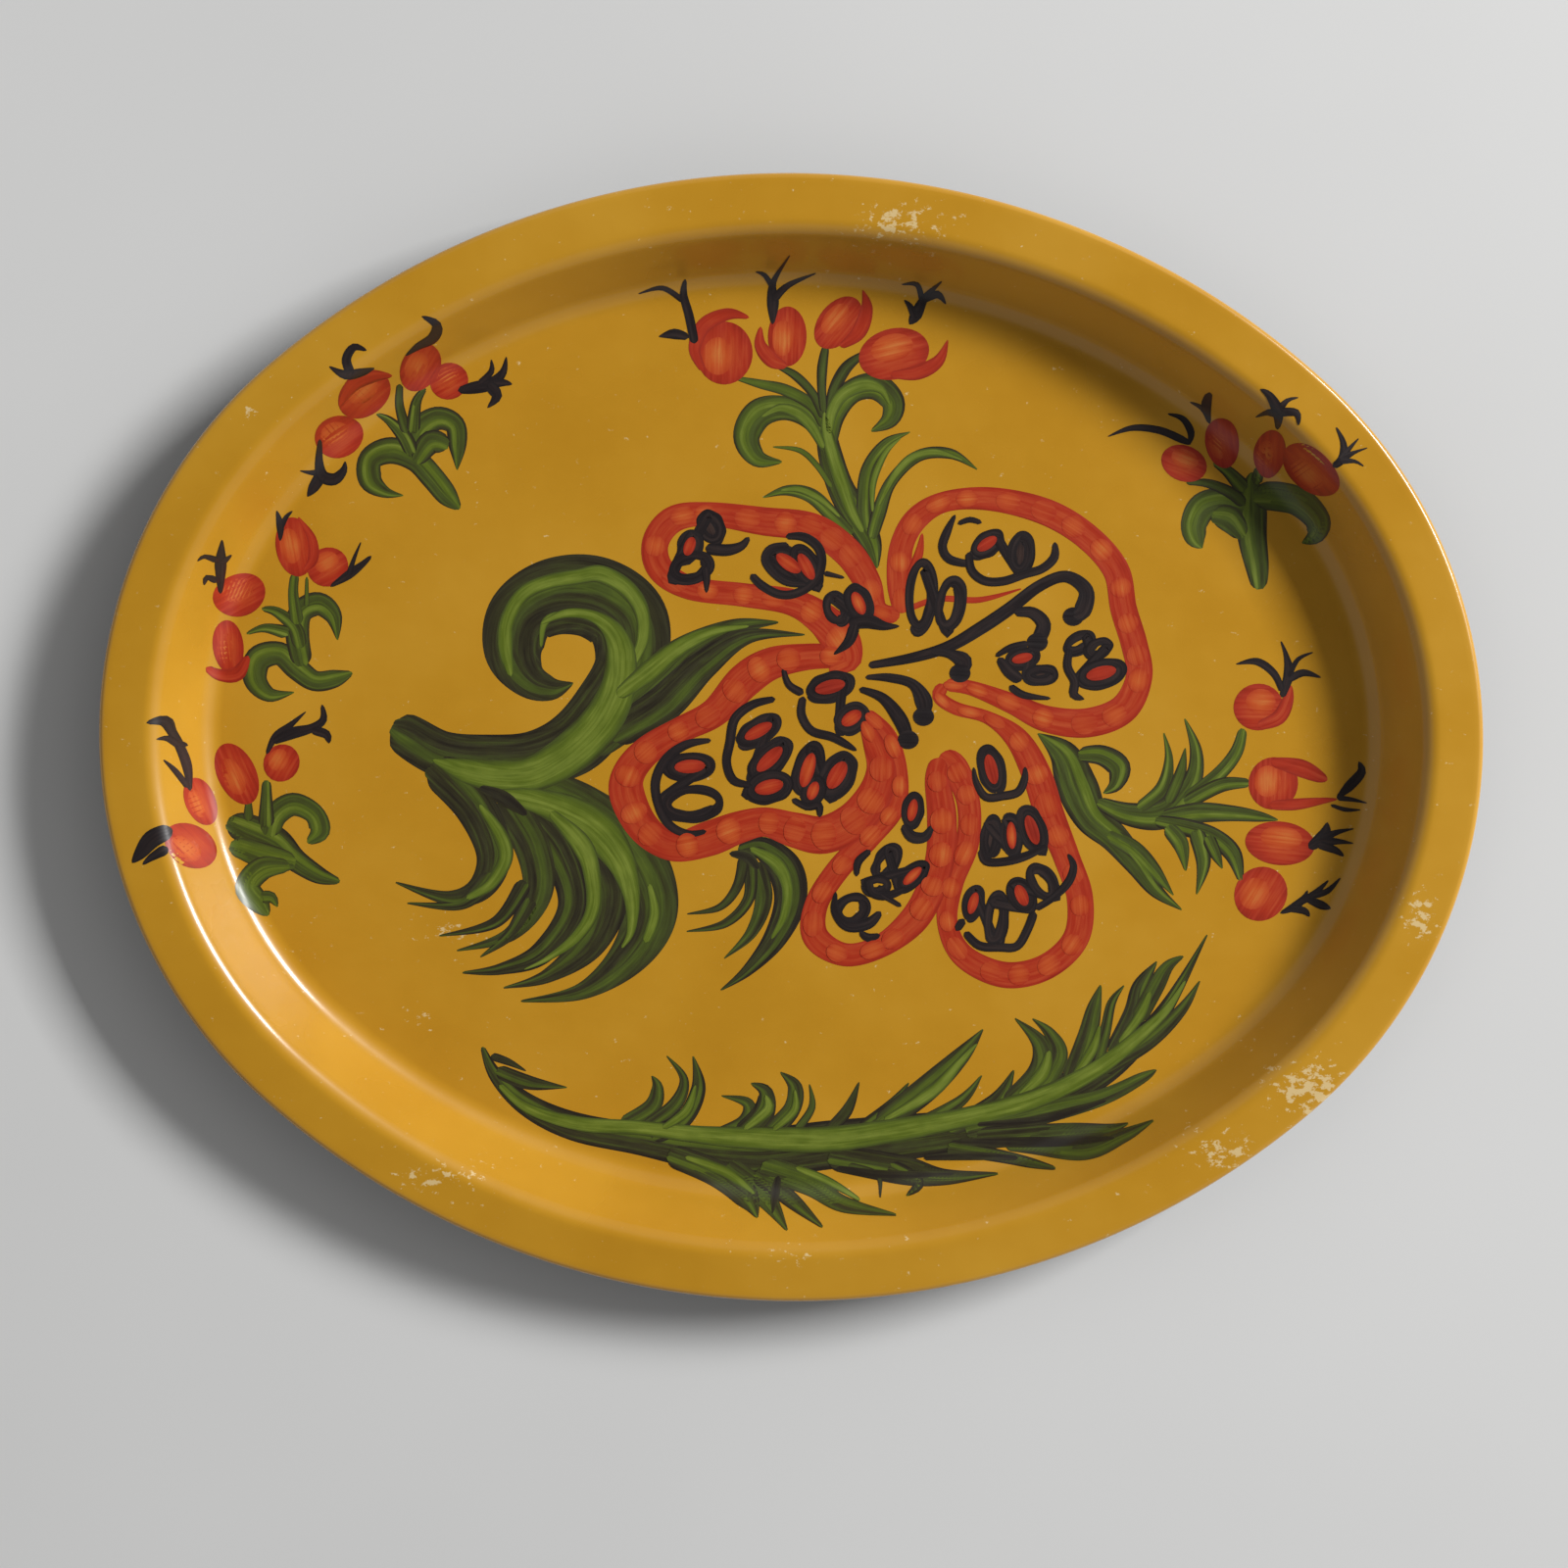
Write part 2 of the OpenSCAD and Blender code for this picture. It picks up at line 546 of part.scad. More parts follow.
// The red outlines of the five seed pods
pod_ribbons = [
    [[35, 43, 6], [28, 45, 6], [24, 54, 9], [17, 64, 10], [5, 72, 10], [-12, 74, 9.5], [-30, 76, 8],
        [-42, 74, 9], [-48, 66, 9], [-46, 57, 9], [-36, 51, 8], [-18, 49, 8], [-2, 47, 9], [8, 42, 11],
        [15, 35, 13], [18, 28, 9], [14, 25, 3.5]],
    [[36, 44, 6], [35, 54, 9], [35, 66, 8], [40, 76, 8], [50, 82, 7], [66, 83, 8], [84, 79, 9],
        [98, 71, 9], [108, 60, 9], [111, 47, 9], [115, 35, 9], [117, 24, 9], [112, 13, 10], [100, 8, 10],
        [86, 9, 9], [74, 14, 7], [60, 19, 5], [51, 20, 4.5]],
    [[51, 20, 4.5], [49, 16, 4.5], [55, 12, 4.5], [66, 9, 4.5], [76, 2, 8], [83, -10, 10], [88, -24, 10],
        [94, -38, 9], [99, -52, 9], [98, -66, 9], [88, -76, 9], [74, -79, 9], [60, -73, 8],
        [54, -62, 7], [55, -48, 8], [60, -34, 8], [60, -20, 8], [55, -8, 9], [50, -4, 6]],
    [[16, 29, 8], [4, 28.5, 9], [-8, 26, 11], [-17, 20, 12], [-27, 9, 10], [-38, 3, 9], [-49, -4, 10],
        [-55.5, -12, 11], [-56, -20, 12], [-50, -31, 11], [-40, -37, 10], [-28, -34, 12], [-18, -30, 11],
        [-9, -28, 10], [1, -30.5, 12], [11, -32, 13], [21, -27, 13], [28, -18, 12], [30, -9, 10],
        [27, 0, 7], [24, 6, 4]],
    [[24, 10, 4.5], [32, 2, 6], [36, -10, 6], [35, -22, 7], [26, -33, 8], [16, -44, 8], [9, -56, 8],
        [9, -67, 9], [19, -73, 8], [31, -70, 8], [42, -61, 10], [48, -50, 10], [51, -38, 10], [51, -24, 10],
        [49, -12, 8], [50, -5, 6]]
];
pod_dabs = [
    [[37, 45, 2], [48, 49, 2], [62, 49, 2], [76, 53, 0.5]],
    [[42, 71, 0.8], [41, 64, 3], [38, 56, 3]]
];
// Width of the brush stroke around each seed
seed_brush = 2.8;
// Seed outlines as [x, y, half length, half width, turn]
seeds = [
    [-35, -9.5, 9.5, 5.5, 5], [-34, -22, 12, 7, 5],
    [-12, 3, 9.5, 5, 30], [-8, -6.5, 10.5, 5.5, 45], [-8, -16, 9, 6, 15],
    [5, -10, 11, 5.5, 75], [15, -11.5, 9.5, 6.5, 60], [7, -17, 6, 4.5, 70],
    [12, 18.5, 9.5, 5.5, 15], [19.5, 8, 7, 5.5, 35],
    [-29.5, 71.5, 6.5, 5, 115], [-36.5, 65, 6, 4.5, 70], [-36, 58, 8.5, 6, 15],
    [-3, 60, 9, 5.5, 145], [3, 59, 9, 5, 120],
    [13.5, 45, 6.5, 5, 110], [21, 47, 7.5, 5, 115],
    [42, 50, 14, 6, 88], [52, 47.5, 10.5, 5.5, 80],
    [64, 68, 7, 4.5, 35], [75.5, 65, 8, 5, 85],
    [77, 29.5, 6.5, 4, 15], [83.5, 24, 6.5, 3.8, 5],
    [96, 35, 6.5, 4, 30], [103, 33.5, 5.5, 3.8, 25], [104, 25, 9.5, 5.5, 15],
    [67.5, -8.5, 9.5, 5, 105],
    [68, -32, 8.5, 4, 85], [75, -31, 8.5, 4, 95], [82, -29, 9.5, 5, 110],
    [41, -23, 7, 4, 80],
    [32.5, -41, 8, 4.5, 60], [41.5, -45.5, 7.5, 4, 45], [29.5, -49, 5.5, 4, 10],
    [21, -57.5, 7.5, 6, 30],
    [62.5, -54.5, 7, 4, 75], [70.5, -59.5, 10.5, 4.5, 85], [79, -51.5, 7, 5, 115], [86, -47, 8, 5, 125]
];
seed_tails = [
    [[-28, -0.5, 1.5], [-36, -2, 3], [-43, -7, 3.2], [-46.5, -15, 3.2], [-45, -24, 3], [-41, -30, 3],
        [-35, -32.5, 2.5], [-29, -31.5, 1.5]],
    [[-6.5, 14, 2], [-14, 12, 3], [-20, 7, 3.2], [-21.5, -1, 3.2], [-22.5, -8, 3], [-20, -14, 3],
        [-14, -15.5, 2]],
    [[0, -20, 2], [5, -22.5, 2.5], [9, -22, 3], [9.5, -26, 1.5]],
    [[-4, 24.5, 1.5], [-2, 19, 2.5], [3, 16, 3]],
    [[3, 15, 2.5], [2.5, 9, 3], [6, 3.5, 3], [13, 1.5, 3], [18, -1, 2.5], [21.5, -3, 1]],
    [[-31, 64.5, 4], [-24, 64, 4], [-19, 65.5, 3], [-16.5, 68.5, 1.5]],
    [[-31, 58, 3], [-30.5, 54, 2.5], [-30.5, 49.5, 1]],
    [[-4, 69, 2], [2, 69, 3], [7, 65.5, 3.2], [8.3, 60, 3], [6, 54, 3], [0, 50, 3], [-6, 49.5, 3],
        [-12, 52.5, 3], [-15.5, 56, 2.5]],
    [[-3, 66, 2.5], [-9, 65, 2.5], [-11, 61, 2.5], [-8, 56.5, 2.5], [-3, 53.5, 2.5], [3, 53, 2]],
    [[9, 57, 2], [16, 55.5, 1]],
    [[18, 40, 4], [24, 41, 5], [30, 39.5, 3], [35, 39.5, 0.8]],
    [[20, 40, 4], [18, 34, 3.5], [13, 29.5, 0.8]],
    [[53, 77.5, 1], [50.5, 72, 2.8], [49, 66.5, 3], [51.5, 62.5, 3], [58, 61, 2.5]],
    [[54, 74.5, 1.5], [58, 76, 2], [62, 75, 1.5]],
    [[58, 65, 2.5], [59, 59, 3], [63.5, 55.5, 3], [70, 55.5, 3], [77, 58, 3], [83, 60, 3], [87, 64, 3],
        [87, 69, 1.5]],
    [[68, 30, 1.5], [73, 33, 2.5], [79, 34.5, 2.5]],
    [[69, 29.5, 2.5], [72.5, 25, 4], [77, 22, 4]],
    [[73, 20, 2.5], [78, 17, 2.5], [87, 16, 1]],
    [[93, 33, 2.5], [92.5, 27, 3], [95, 22, 3], [95, 17.5, 3], [98.5, 16, 1]],
    [[61.5, -8, 1], [62.5, -13, 2.2], [66, -18, 2.8], [72, -17.5, 3], [77, -16, 3], [79, -11.5, 2.5],
        [79, -7.5, 1]],
    [[64.5, -36, 2], [66.5, -40, 2.8], [73, -40, 3], [80, -38, 3], [87, -34.5, 2]],
    [[38, -28, 3], [41, -32, 4], [45.5, -32, 3.5], [48, -28, 1.5]],
    [[22.5, -46, 1.5], [23, -41, 2.8], [27, -37, 2]],
    [[26.5, -47, 2.5], [28, -51.5, 3], [33, -52.5, 3], [39, -50, 2.5]],
    [[31, -52, 2], [38, -56, 1.5]],
    [[15.5, -51.5, 1], [15.5, -58, 3], [20, -63, 4], [27, -62, 4], [31, -58, 2]],
    [[24, -65, 1.5], [27, -67, 3], [31, -66, 1.5]],
    [[57, -64, 2.5], [59.5, -60, 3]],
    [[60, -64.5, 2.5], [65, -69, 3], [72, -69.5, 3], [78, -69, 3], [81.5, -63, 3], [83.5, -57, 3]],
    [[84, -56, 2.5], [90, -52, 2.5], [95, -46.5, 3], [96.5, -41, 2.5], [94.5, -37, 1]]
];
stamens = [
    [[25, 26, 2.5], [40, 29, 3.5], [52, 33, 4], [62, 39, 4.5], [72, 46, 4.5], [82, 54, 4],
        [91, 57.5, 4], [98, 53, 5], [97, 46, 6], [94, 44, 3]],
    [[74, 45, 3], [80, 45, 4], [84, 41, 5], [82, 35, 5]],
    [[46, 31, 2.5], [52, 30.5, 3], [57, 28, 6], [56, 24, 4]],
    [[24, 22, 1.5], [32, 22, 3], [40, 20, 3.5], [44, 14, 6], [44, 9, 3]],
    [[22, 18, 2], [30, 15, 3.5], [36, 8, 5], [39, 1, 4]]
];

// Radius of the blob that ends a stamen
stamen_tip = 3.4;
stamen_tips = [
    for (p = stamens)
        let (end = p[len(p) - 1]) [end[0], end[1], stamen_tip, stamen_tip, 0]
];

module stamen_marks() {
    strokes(stamens);
    ovals(stamen_tips);
}

module flower_stamens() { color(BLACK) on_floor() stamen_marks(); }

module flower_seeds() {
    color(BLACK)
        on_floor()
            difference() {
                union() {
                    loops(seeds, seed_brush);
                    strokes(seed_tails);
                }
                stamen_marks();
            }
}

module flower_pods() {
    color(RED)
        on_floor()
            difference() {
                union() {
                    strokes(pod_ribbons);
                    strokes(pod_dabs);
                }
                loops(seeds, seed_brush);
                strokes(seed_tails);
                stamen_marks();
                strokes(top_leaves);
            }
}

// ---------------------------------------------------------------- leaves

scroll_strokes = [
    [[-136, 2, 6], [-132, 0, 14], [-119, -7, 16], [-104, -9, 18], [-88, -8, 19], [-74, -2, 22],
        [-64, 10, 22], [-56, 24, 24], [-57, 39, 28], [-68, 47, 28], [-82, 47, 26], [-93, 40, 23],
        [-95, 28, 20], [-90, 19, 13], [-82, 16, 8], [-75, 18, 0.8]],
    [[-72, -4, 14], [-58, 8, 18], [-45, 20, 18], [-35, 30, 12], [-20, 38, 6], [-6, 40, 0.8]],
    [[-62, 0, 10], [-45, 11, 13], [-31, 25, 10], [-16, 35, 5], [3, 36, 0.6]],
    [[-108, -13, 12], [-90, -18, 16], [-72, -26, 20], [-56, -40, 24], [-48, -58, 20], [-54, -74, 14],
        [-70, -87, 6], [-91, -91, 0.8]],
    [[-92, -24, 12], [-75, -36, 18], [-64, -52, 18], [-68, -70, 12], [-82, -82, 5], [-97, -86.5, 0.6]],
    [[-92, -24, 12], [-79, -40, 12], [-74, -58, 10], [-84, -74, 8], [-98, -80, 4], [-111, -81.5, 0.8]],
    [[-98, -22, 12], [-88, -38, 12], [-86, -54, 10], [-95, -68, 5], [-113, -74, 0.6]],
    [[-88, -56, 7], [-95, -68, 4], [-105, -76, 0.6]],
    [[-90, -50, 6], [-100, -64, 4], [-119, -69, 0.6]],
    [[-122, -10, 14], [-108, -24, 14], [-101, -40, 12], [-105, -52, 9], [-116, -56, 5],
        [-134, -51, 0.6]],
    [[-101, -48, 8], [-112, -58, 4], [-130, -58, 0.6]]
];
small_leaf_strokes = [
    [[-18, -38, 5], [-10, -37, 8], [-2, -44, 12], [0, -55, 11], [-5, -68, 8], [-14, -79, 4],
        [-23, -86, 0.6]],
    [[-12, -42, 6], [-9, -54, 6], [-13, -66, 4], [-22, -75, 0.5]],
    [[-14, -41, 5], [-14, -54, 4], [-22, -63, 3], [-35, -66, 0.5]],
    [[-16, -40, 4], [-18, -50, 3.5], [-24, -57.5, 2.5], [-35, -60, 0.5]]
];
frond_strokes = [
    [[-104, -107, 1.5], [-99, -117, 5], [-88, -127, 8], [-72, -134, 10], [-50, -138, 11],
        [-30, -141, 14], [-8, -142, 17], [15, -139, 17], [40, -136, 16], [65, -132, 14], [85, -124, 14],
        [105, -114, 11], [118, -104, 8], [130, -89, 5], [143, -64, 0.6]],
    [[-101, -110, 3], [-95, -112, 2.5], [-89, -115, 0.5]],
    [[-99, -115, 5], [-88, -119, 5], [-75, -120.5, 0.5]],
    [[-56, -133, 5], [-46, -127, 6], [-44, -120, 4], [-46, -116, 0.6]],
    [[-48, -134, 5], [-38, -126, 5], [-35, -117, 3], [-41, -109, 0.5]],
    [[-46, -137, 7], [-35, -131, 6], [-30, -120, 5], [-32, -109, 0.6]],
    [[-26, -137, 4], [-14, -132, 6], [-13, -125, 4], [-22, -122.5, 0.5]],
    [[-16, -137, 8], [-8, -129, 8], [-7, -121, 5], [-12, -118, 0.8]],
    [[-6, -136, 7], [2, -127, 6], [3, -119, 5], [-2, -114, 0.6]],
    [[4, -134, 3], [9, -126, 2.5], [8, -118, 0.5]],
    [[14, -135, 4], [21, -127, 4], [25, -117, 0.6]],
    [[26, -134, 6], [36, -125, 4], [42, -117, 0.6]],
    [[32, -132, 8], [48, -119, 9], [60, -107, 6], [67, -98, 0.6]],
    [[44, -133, 6], [60, -123, 4], [67, -114, 0.6]],
    [[56, -133, 6], [72, -123, 6], [78, -112, 0.8]],
    [[76, -126, 10], [87, -114, 10], [87, -103, 6], [78, -94, 0.5]],
    [[86, -119, 9], [93, -107, 7], [90, -99, 4], [84, -94, 0.5]],
    [[98, -117, 9], [103, -100, 7], [105, -90, 5], [107, -82, 0.8]],
    [[105, -113, 7], [109, -98, 4], [111, -88, 3], [115, -82, 0.5]],
    [[112, -106, 7], [119, -92, 8], [121, -82, 6], [126, -73.5, 0.6]],
    [[120, -94, 6], [126, -82, 6], [130, -75, 4], [135, -71.5, 1]],
    [[108, -111, 7], [124, -101, 6], [135, -90, 4], [141, -80, 0.5]],
    [[62, -133, 8], [85, -127, 9], [108, -121, 6], [122, -114, 4], [127, -111, 0.8]],
    [[66, -136, 8], [95, -133, 6], [110, -131, 3], [117, -128.5, 0.5]],
    [[76, -138, 4], [100, -138, 5], [115, -132, 3.5], [125, -126.5, 0.5]],
    [[56, -139, 6], [80, -142.5, 3.5], [92, -143.5, 1]],
    [[15, -143, 9], [40, -147, 10], [55, -149, 5], [73, -147, 0.6]],
    [[36, -146, 6], [46, -151, 4], [42, -155, 0.6]],
    [[-40, -143, 8], [-24, -149, 9], [-13, -156, 8], [-9, -162, 1]],
    [[-20, -147, 9], [-7, -156, 7], [1, -165, 0.8]],
    [[-10, -149, 7], [2, -157, 5], [13, -164, 0.8]],
    [[-8, -147, 9], [8, -152, 8], [20, -158, 4.5], [38, -160, 0.6]],
    [[22, -146, 2.5], [32, -149, 2], [33, -156, 0.5]]
];

module scroll_leaf() {
    color(GREEN)
        on_floor()
            difference() {
                strokes(scroll_strokes);
                strokes(pod_ribbons);
            }
}

module small_leaf() {
    color(GREEN)
        on_floor()
            difference() {
                strokes(small_leaf_strokes);
                strokes(pod_ribbons);
            }
}

module bottom_frond() { color(GREEN) on_tray() strokes(frond_strokes); }

tray_pan();
rim_wire();
top_bouquet_buds();
top_bouquet_leaves();
top_bouquet_sprigs();
upper_left_buds();
upper_left_leaves();
upper_left_sprigs();
middle_left_buds();
middle_left_leaves();
middle_left_sprigs();
lower_left_buds();
lower_left_leaves();
lower_left_sprigs();
upper_right_buds();
upper_right_leaves();
upper_right_sprigs();
right_bouquet_buds();
right_bouquet_leaves();
right_bouquet_sprigs();
flower_pods();
flower_seeds();
flower_stamens();
scroll_leaf();
small_leaf();
bottom_frond();
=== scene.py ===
import math
import random

import bpy
from mathutils import Matrix, Vector


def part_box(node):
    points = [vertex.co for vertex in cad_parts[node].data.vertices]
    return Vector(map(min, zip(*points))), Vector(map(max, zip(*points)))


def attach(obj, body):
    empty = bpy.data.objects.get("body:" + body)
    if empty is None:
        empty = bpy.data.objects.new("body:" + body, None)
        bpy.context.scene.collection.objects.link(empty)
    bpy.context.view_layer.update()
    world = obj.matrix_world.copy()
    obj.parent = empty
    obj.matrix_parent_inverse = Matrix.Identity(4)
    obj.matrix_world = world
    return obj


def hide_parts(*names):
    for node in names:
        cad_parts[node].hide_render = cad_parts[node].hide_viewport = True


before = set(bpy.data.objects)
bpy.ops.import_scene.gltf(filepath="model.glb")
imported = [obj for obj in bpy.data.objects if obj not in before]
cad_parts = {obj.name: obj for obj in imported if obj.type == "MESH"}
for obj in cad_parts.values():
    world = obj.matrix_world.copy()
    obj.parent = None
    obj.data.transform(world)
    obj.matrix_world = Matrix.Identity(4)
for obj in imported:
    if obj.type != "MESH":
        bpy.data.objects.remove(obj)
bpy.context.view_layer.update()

# ---------------------------------------------------------------- sizes
# The painting and the section are given in millimetres, like the CAD model; MM turns them into metres.
MM = 0.001

pan_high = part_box("tray_pan")[1]
HALF_LENGTH = pan_high.x / MM
HALF_WIDTH = pan_high.y / MM
HEIGHT = pan_high.z / MM

# The rim is an oval of four arcs. Their centres make a 48-55-73 triangle with the middle.
SPREAD = (HALF_LENGTH - HALF_WIDTH) / (48 + 55 - 73)
END_CENTRE = 48 * SPREAD
SIDE_CENTRE = 55 * SPREAD
END_RADIUS = HALF_LENGTH - END_CENTRE
SIDE_RADIUS = HALF_WIDTH + SIDE_CENTRE

# The section, as in the CAD model
SHEET = 0.8
FLANGE_WIDTH = 14.5
SHOULDER_RADIUS = 7
COVE_RADIUS = 9
WALL_SLOPE = math.radians(60)
CURL_RADIUS = 2.05
CURL_TURN = math.radians(270)
SHOULDER_END = FLANGE_WIDTH + SHOULDER_RADIUS * math.sin(WALL_SLOPE)
SHOULDER_DROP = SHOULDER_RADIUS * (1 - math.cos(WALL_SLOPE))
COVE_RISE = COVE_RADIUS * (1 - math.cos(WALL_SLOPE))
WALL_DROP = HEIGHT - SHOULDER_DROP - SHEET - COVE_RISE
WALL_FOOT = SHOULDER_END + WALL_DROP / math.tan(WALL_SLOPE)
FLOOR_INSET = WALL_FOOT + COVE_RADIUS * math.sin(WALL_SLOPE)


# ---------------------------------------------------------------- tray surface

def oval_point(angle, inset):
    """The point of the rim's oval whose outward normal has this angle, moved in by inset."""
    c, s = math.cos(angle), math.sin(angle)
    if abs(s) * END_CENTRE <= abs(c) * SIDE_CENTRE:
        centre, radius = (math.copysign(END_CENTRE, c), 0.0), END_RADIUS
    else:
        centre, radius = (0.0, -math.copysign(SIDE_CENTRE, s)), SIDE_RADIUS
    return centre[0] + (radius - inset) * c, centre[1] + (radius - inset) * s


def inset_at(x, y):
    """How far a point of the plan lies in from the outer edge."""
    ax, ay = abs(x), abs(y)
    if ay * END_CENTRE <= (ax - END_CENTRE) * SIDE_CENTRE:
        return END_RADIUS - math.hypot(ax - END_CENTRE, ay)
    return SIDE_RADIUS - math.hypot(ax, ay + SIDE_CENTRE)


def face_at(x, y):
    """Height of the tray's upper face over a point of the plan, and the cosine of its slope there."""
    u = inset_at(x, y)
    if u >= FLOOR_INSET:
        return SHEET, 1.0
    if u >= WALL_FOOT:
        run = FLOOR_INSET - u
        drop = math.sqrt(COVE_RADIUS ** 2 - run ** 2)
        return SHEET + COVE_RADIUS - drop, drop / COVE_RADIUS
    if u >= SHOULDER_END:
        return SHEET + COVE_RISE + (WALL_FOOT - u) * math.tan(WALL_SLOPE), math.cos(WALL_SLOPE)
    if u >= FLANGE_WIDTH:
        run = u - FLANGE_WIDTH
        rise = math.sqrt(SHOULDER_RADIUS ** 2 - run ** 2)
        return HEIGHT - SHOULDER_RADIUS + rise, rise / SHOULDER_RADIUS
    return HEIGHT, 1.0


# ---------------------------------------------------------------- mesh helpers

SHARP_ANGLE = 35


def new_object(name, verts, faces, material):
    mesh = bpy.data.meshes.new(name)
    mesh.from_pydata([Vector(v) * MM for v in verts], [], faces)
    mesh.materials.append(material)
    mesh.shade_smooth()
    mesh.set_sharp_from_angle(angle=math.radians(SHARP_ANGLE))
    made = bpy.data.objects.new(name, mesh)
    bpy.context.scene.collection.objects.link(made)
    return made


def give_floats(piece, name, values):
    attribute = piece.data.attributes.new(name, "FLOAT", "POINT")
    attribute.data.foreach_set("value", values)


def give_vectors(piece, name, vectors):
    attribute = piece.data.attributes.new(name, "FLOAT_VECTOR", "POINT")
    attribute.data.foreach_set("vector", [c for v in vectors for c in v])


# ---------------------------------------------------------------- materials

def srgb(red, green, blue):
    """A display colour, 0 to 255, as the linear colour that a shader takes."""
    def linear(c):
        c /= 255
        return c / 12.92 if c <= 0.04045 else ((c + 0.055) / 1.055) ** 2.4
    return (linear(red), linear(green), linear(blue), 1.0)


class Nodes:
    """A short way to build a material's node tree."""

    def __init__(self, name):
        self.material = bpy.data.materials.new(name)
        self.material.use_nodes = True
        self.tree = self.material.node_tree
        self.shader = self.tree.nodes["Principled BSDF"]

    def add(self, kind, **settings):
        node = self.tree.nodes.new("ShaderNode" + kind)
        for key, value in settings.items():
            setattr(node, key, value)
        return node

    def feed(self, socket, value):
        if isinstance(value, bpy.types.NodeSocket):
            self.tree.links.new(value, socket)
        else:
            socket.default_value = value

    def math(self, operation, a, b=0.0, c=0.0, clamp=False):
        node = self.add("Math", operation=operation, use_clamp=clamp)
        for socket, value in zip(node.inputs, (a, b, c)):
            self.feed(socket, value)
        return node.outputs[0]

    def mix(self, factor, a, b):
        node = self.add("Mix", data_type="RGBA")
        self.feed(node.inputs["Factor"], factor)
        self.feed(node.inputs[6], a)
        self.feed(node.inputs[7], b)
        return node.outputs[2]

    def ramp(self, value, stops):
        node = self.add("ValToRGB")
        ramp = node.color_ramp
        for position, colour in stops[1:-1]:
            ramp.elements.new(position).color = colour
        ramp.elements[0].position, ramp.elements[0].color = stops[0]
        ramp.elements[-1].position, ramp.elements[-1].color = stops[-1]
        self.feed(node.inputs[0], value)
        return node.outputs[0]

    def span(self, value, low, high, to_low=0.0, to_high=1.0):
        node = self.add("MapRange", interpolation_type="SMOOTHSTEP")
        for socket, v in zip(node.inputs, (value, low, high, to_low, to_high)):
            self.feed(socket, v)
        return node.outputs[0]

    def noise(self, vector, scale, detail=3.0, roughness=0.5):
        node = self.add("TexNoise")
        self.feed(node.inputs["Vector"], vector)
        self.feed(node.inputs["Scale"], scale)
        self.feed(node.inputs["Detail"], detail)
        self.feed(node.inputs["Roughness"], roughness)
        return node.outputs[0]

    def stretched(self, vector, scale):
        node = self.add("VectorMath", operation="MULTIPLY")
        self.feed(node.inputs[0], vector)
        self.feed(node.inputs[1], scale)
        return node.outputs[0]

    def attribute(self, name, output="Fac"):
        return self.add("Attribute", attribute_name=name).outputs[output]

    def place(self):
        return self.add("TexCoord").outputs["Object"]

    def bump(self, height, distance, strength=1.0):
        node = self.add("Bump")
        self.feed(node.inputs["Strength"], strength)
        self.feed(node.inputs["Distance"], distance)
        self.feed(node.inputs["Height"], height)
        self.feed(self.shader.inputs["Normal"], node.outputs[0])

    def surface(self, **values):
        for name, value in values.items():
            self.feed(self.shader.inputs[name.replace("_", " ")], value)
        return self.material


def paint_material(name, stops):
    """Oil paint under lacquer. tone picks the colour, and streaks follow the bristles along each stroke."""
    n = Nodes(name)
    brush = n.attribute("brush", "Vector")
    bristles = n.noise(n.stretched(brush, (0.9, 0.04, 7.0)), 1.0, detail=4.0, roughness=0.65)
    blotches = n.noise(n.stretched(brush, (0.25, 0.12, 3.0)), 1.0, detail=2.0)
    streaks = n.math("MULTIPLY_ADD", n.math("SUBTRACT", bristles, 0.5), 0.7, n.attribute("tone"))
    tone = n.math("MULTIPLY_ADD", n.math("SUBTRACT", blotches, 0.5), 0.3, streaks, clamp=True)
    n.bump(bristles, 0.00004)
    return n.surface(
        Base_Color=n.ramp(tone, stops),
        Roughness=n.span(bristles, 0.3, 0.7, 0.34, 0.46),
        Coat_Weight=0.25,
        Coat_Roughness=0.2,
    )


def enamel_material():
    n = Nodes("ochre_enamel")
    place = n.place()
    clouds = n.noise(place, 14.0, detail=4.0, roughness=0.55)
    grain = n.noise(n.stretched(place, (60.0, 160.0, 120.0)), 1.0, detail=3.0)
    body = n.ramp(n.math("MULTIPLY_ADD", n.math("SUBTRACT", grain, 0.5), 0.1, clouds), [
        (0.25, srgb(190, 136, 30)),
        (0.5, srgb(199, 145, 35)),
        (0.75, srgb(206, 153, 42)),
    ])
    # Chips and scuffs, down to a pale ground
    wear = n.attribute("wear")
    flakes = n.noise(n.stretched(place, (300.0, 420.0, 300.0)), 1.0, detail=5.0, roughness=0.7)
    chipped = n.span(n.math("ADD", flakes, n.math("MULTIPLY", wear, 0.22)), 0.66, 0.72)
    worn = n.mix(n.math("MULTIPLY", chipped, 0.75), body, srgb(228, 204, 150))
    # Black lacquer on the back, brushed up to the curl
    edge = n.math("MULTIPLY_ADD", n.math("SUBTRACT", clouds, 0.5), 0.6, n.attribute("back"))
    back = n.span(edge, 0.45, 0.55)
    colour = n.mix(back, worn, srgb(38, 30, 26))
    n.bump(n.noise(place, 90.0, detail=2.0), 0.0002, 0.35)
    return n.surface(
        Base_Color=colour,
        Roughness=n.math("MULTIPLY_ADD", chipped, 0.3, n.span(clouds, 0.35, 0.65, 0.26, 0.34)),
        Coat_Weight=0.5,
        Coat_Roughness=0.12,
    )


def steel_material():
    n = Nodes("steel_wire")
    place = n.place()
    rust = n.noise(place, 160.0, detail=5.0, roughness=0.6)
    return n.surface(
        Base_Color=n.ramp(rust, [(0.4, srgb(126, 124, 120)), (0.6, srgb(98, 74, 54))]),
        Roughness=n.span(rust, 0.4, 0.6, 0.35, 0.7),
        Metallic=n.span(rust, 0.45, 0.6, 0.9, 0.3),
    )


